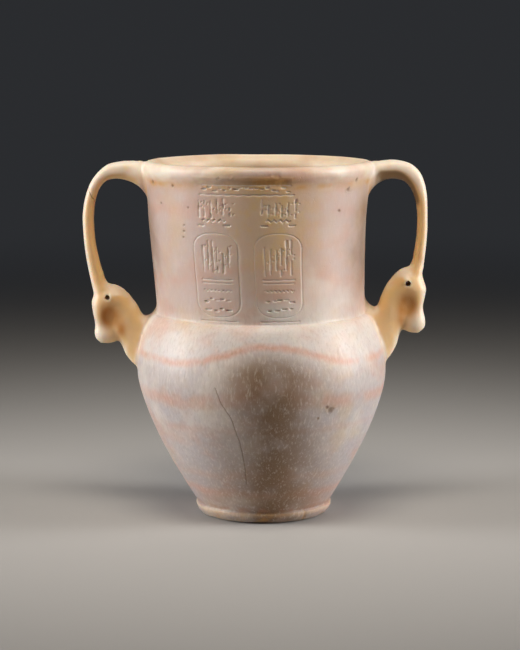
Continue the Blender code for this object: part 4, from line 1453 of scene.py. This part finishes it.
def neck_tones(graph, place, patch):
    """Painted shade that the handles cast on the neck, honey tone with painted warm shade at its front,
    painted amber shade under the lip, and amber chipped stone with painted shadow under the lip's edge.
    """
    x, y, z = graph.split(place)
    front = graph.fade(y, 0.0, -0.05)
    # Painted shade cast by the handles on the neck beside them, with a ragged edge
    ragged = graph.times(graph.minus(graph.noise(place, 32.0, 4.0), 0.5), CAST_SHADE_RAGGED)
    aside = graph.minus(graph.math("ABSOLUTE", y), graph.times(graph.math("SIGN", x), CAST_SHADE_TURN))
    cast_shade = graph.fade(graph.add(aside, ragged), *CAST_SHADE_SPAN)
    above = graph.fade(z, NECK_BASE_HEIGHT - 0.004, NECK_BASE_HEIGHT + 0.045)
    below = graph.fade(z, LIP_FOOT + 0.002, LIP_FOOT - 0.030)
    graph.coat(BARK, 0.66, cast_shade, above, below, graph.minus(1.0, graph.attribute("beyond")))
    rise = graph.fade(z, NECK_BASE_HEIGHT + 0.01, LIP_FOOT - 0.03)
    under_lip = graph.fade(z, LIP_FOOT + 0.003, LIP_FOOT - 0.002)
    # Honey tone of the stone together with painted warm shade at the front middle of the neck
    honey_and_shade = graph.times(graph.bump_at(x, FRONT_MIDDLE, HONEY_AND_SHADE_WIDTH), front, rise, under_lip)
    graph.coat(HONEY, 0.75, honey_and_shade, patch)
    graph.coat(HONEY, 0.50, honey_and_shade)
    # Painted amber shade on the underside of the lip at the front
    under_lip_shade = graph.bump_at(z, LIP_FOOT - 0.0035, 0.0035)
    spread = graph.fade(graph.noise(place, 42.0, 2.0), 0.42, 0.60)
    graph.coat(AMBER, 0.70, under_lip_shade, spread, graph.fade(y, 0.0, -0.03))
    # Amber of the chipped stone under the lip, with painted shadow in dark brown under the lip's edge
    lost_x = graph.bump_at(x, 0.004, 0.046)
    chip_amber_and_shadow = graph.times(lost_x, front, graph.bump_at(z, LIP_FOOT + 0.0025, 0.0060))
    graph.coat(AMBER, 0.90, chip_amber_and_shadow)
    graph.coat(BARK, 0.55, chip_amber_and_shadow, graph.bump_at(z, LIP_FOOT, 0.0035))


def wear_tones(graph, place):
    """Chalky strokes, painted amber shade where stone is lost, dirt, breaks, and the rusty ring above the
    foot.
    """
    z = graph.split(place)[2]
    carved = graph.attribute("carved")
    graph.coat(CHALK, 0.65, graph.fade(carved, 0.10, 0.5))
    graph.coat(UMBER, 0.60, graph.fade(carved, 1.0, 1.7))
    # Painted amber shade in the hollows where stone is lost at the lip and the foot
    graph.coat(AMBER, 0.85, graph.fade(graph.attribute("lost"), 0.06, 0.50))
    graph.coat_marks((("inner", 0.35, HONEY), ("pale", 0.12, CHALK)))
    graph.coat_marks((("stain", 0.60, BARK), ("crack", 0.80, BARK)))
    ring = graph.bump_at(z, FOOT_HEIGHT + 0.0015, 0.0045)
    soiled = graph.fade(graph.noise(place, 120.0, 2.0), 0.32, 0.62)
    graph.coat(RUST, 0.55, ring, soiled)


def fine_relief(graph, place, fibre, fleck):
    """Grain, pores and faint turning marks, too fine for the mesh."""
    pores = graph.fade(graph.cells(graph.stretch(place, (1, 1, 0.7)), 330.0), 0.0, 0.22)
    sparse = graph.fade(graph.noise(place, 75.0, 2.0), 0.52, 0.66)
    pores = graph.times(graph.minus(pores, 1.0), sparse)
    turning = graph.noise(graph.stretch(place, (0.12, 0.12, 1)), 700.0, 2.0)
    height = graph.add(graph.times(fibre, 0.35), graph.times(fleck, 0.20))
    height = graph.add(height, graph.add(graph.times(pores, 0.9), graph.times(turning, 0.25)))
    inputs = {"Height": height, "Strength": 0.35, "Distance": RELIEF_HEIGHT}
    return graph.node("ShaderNodeBump", inputs).outputs["Normal"]


def travertine():
    material = bpy.data.materials.new("travertine")
    material.use_nodes = True
    graph = Graph(material)
    place = graph.place()
    patch = graph.fade(graph.noise(place, 85.0), 0.42, 0.68)
    ground_tones(graph, place)
    fibre, fleck = grain_tones(graph, place)
    handle_tones(graph, place, patch)
    neck_tones(graph, place, patch)
    wear_tones(graph, place)
    uneven = {"Value": graph.noise(place, 160.0), "To Min": ROUGHNESS[0], "To Max": ROUGHNESS[1]}
    settings = {
        "Base Color": graph.color,
        "Roughness": graph.node("ShaderNodeMapRange", uneven).outputs["Result"],
        "IOR": 1.5,
        "Subsurface Weight": GLOW_WEIGHT,
        "Subsurface Radius": GLOW_RADIUS,
        "Subsurface Scale": GLOW_SCALE,
        "Normal": fine_relief(graph, place, fibre, fleck),
    }
    for name, value in settings.items():
        graph.feed(graph.shader.inputs[name], value)
    return material


def area_light(name, location, aim, size, power, color):
    data = bpy.data.lights.new(name, "AREA")
    data.shape = "RECTANGLE"
    data.size, data.size_y = size
    data.energy = power
    data.spread = LIGHT_SPREAD
    data.color = color
    light = add_object(name, data)
    light.location = location
    light.rotation_euler = (Vector(aim) - Vector(location)).to_track_quat("-Z", "Y").to_euler()


def floor_material():
    """Pale and plain, and fading far from the jar into the colour of the backdrop."""
    material = bpy.data.materials.new("floor")
    material.use_nodes = True
    graph = Graph(material)
    graph.feed(graph.shader.inputs["Base Color"], (*FLOOR_COLOR, 1.0))
    graph.feed(graph.shader.inputs["Roughness"], 0.85)
    gap = graph.node("ShaderNodeVectorMath", {0: graph.place()}, operation="LENGTH").outputs["Value"]
    backdrop = {"Color": (*BACKDROP, 1.0), "Strength": BACKDROP_STRENGTH}
    glow = graph.node("ShaderNodeEmission", backdrop).outputs["Emission"]
    inputs = {0: graph.fade(gap, *FLOOR_FADE), 1: graph.shader.outputs["BSDF"], 2: glow}
    mixed = graph.node("ShaderNodeMixShader", inputs).outputs["Shader"]
    graph.feed(graph.tree.nodes["Material Output"].inputs["Surface"], mixed)
    return material


def stage():
    build = bmesh.new()
    bmesh.ops.create_circle(build, cap_ends=True, segments=96, radius=FLOOR_RADIUS)
    mesh = bpy.data.meshes.new("floor")
    build.to_mesh(mesh)
    build.free()
    mesh.materials.append(floor_material())
    floor = add_object("floor", mesh)

    scene = bpy.context.scene
    world = bpy.data.worlds.new("studio")
    world.use_nodes = True
    background = world.node_tree.nodes["Background"]
    background.inputs["Color"].default_value = (*BACKDROP, 1.0)
    background.inputs["Strength"].default_value = BACKDROP_STRENGTH
    scene.world = world
    scene.view_settings.view_transform = "Standard"
    for light in LIGHTS:
        area_light(*light)

    camera = bpy.data.cameras.new("camera")
    camera.sensor_width = SENSOR
    camera.sensor_fit = "AUTO"
    camera.lens = FOCAL_LENGTH * SENSOR / PICTURE_HEIGHT
    eye = add_object("camera", camera)
    eye.location = CAMERA_PLACE
    eye.rotation_euler = (math.radians(90) - CAMERA_PITCH, 0, 0)
    scene.camera = eye


stage()
stone = finish_jar(build_jar())
stone.data.materials.append(travertine())
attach(stone, "root")
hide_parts("jar")
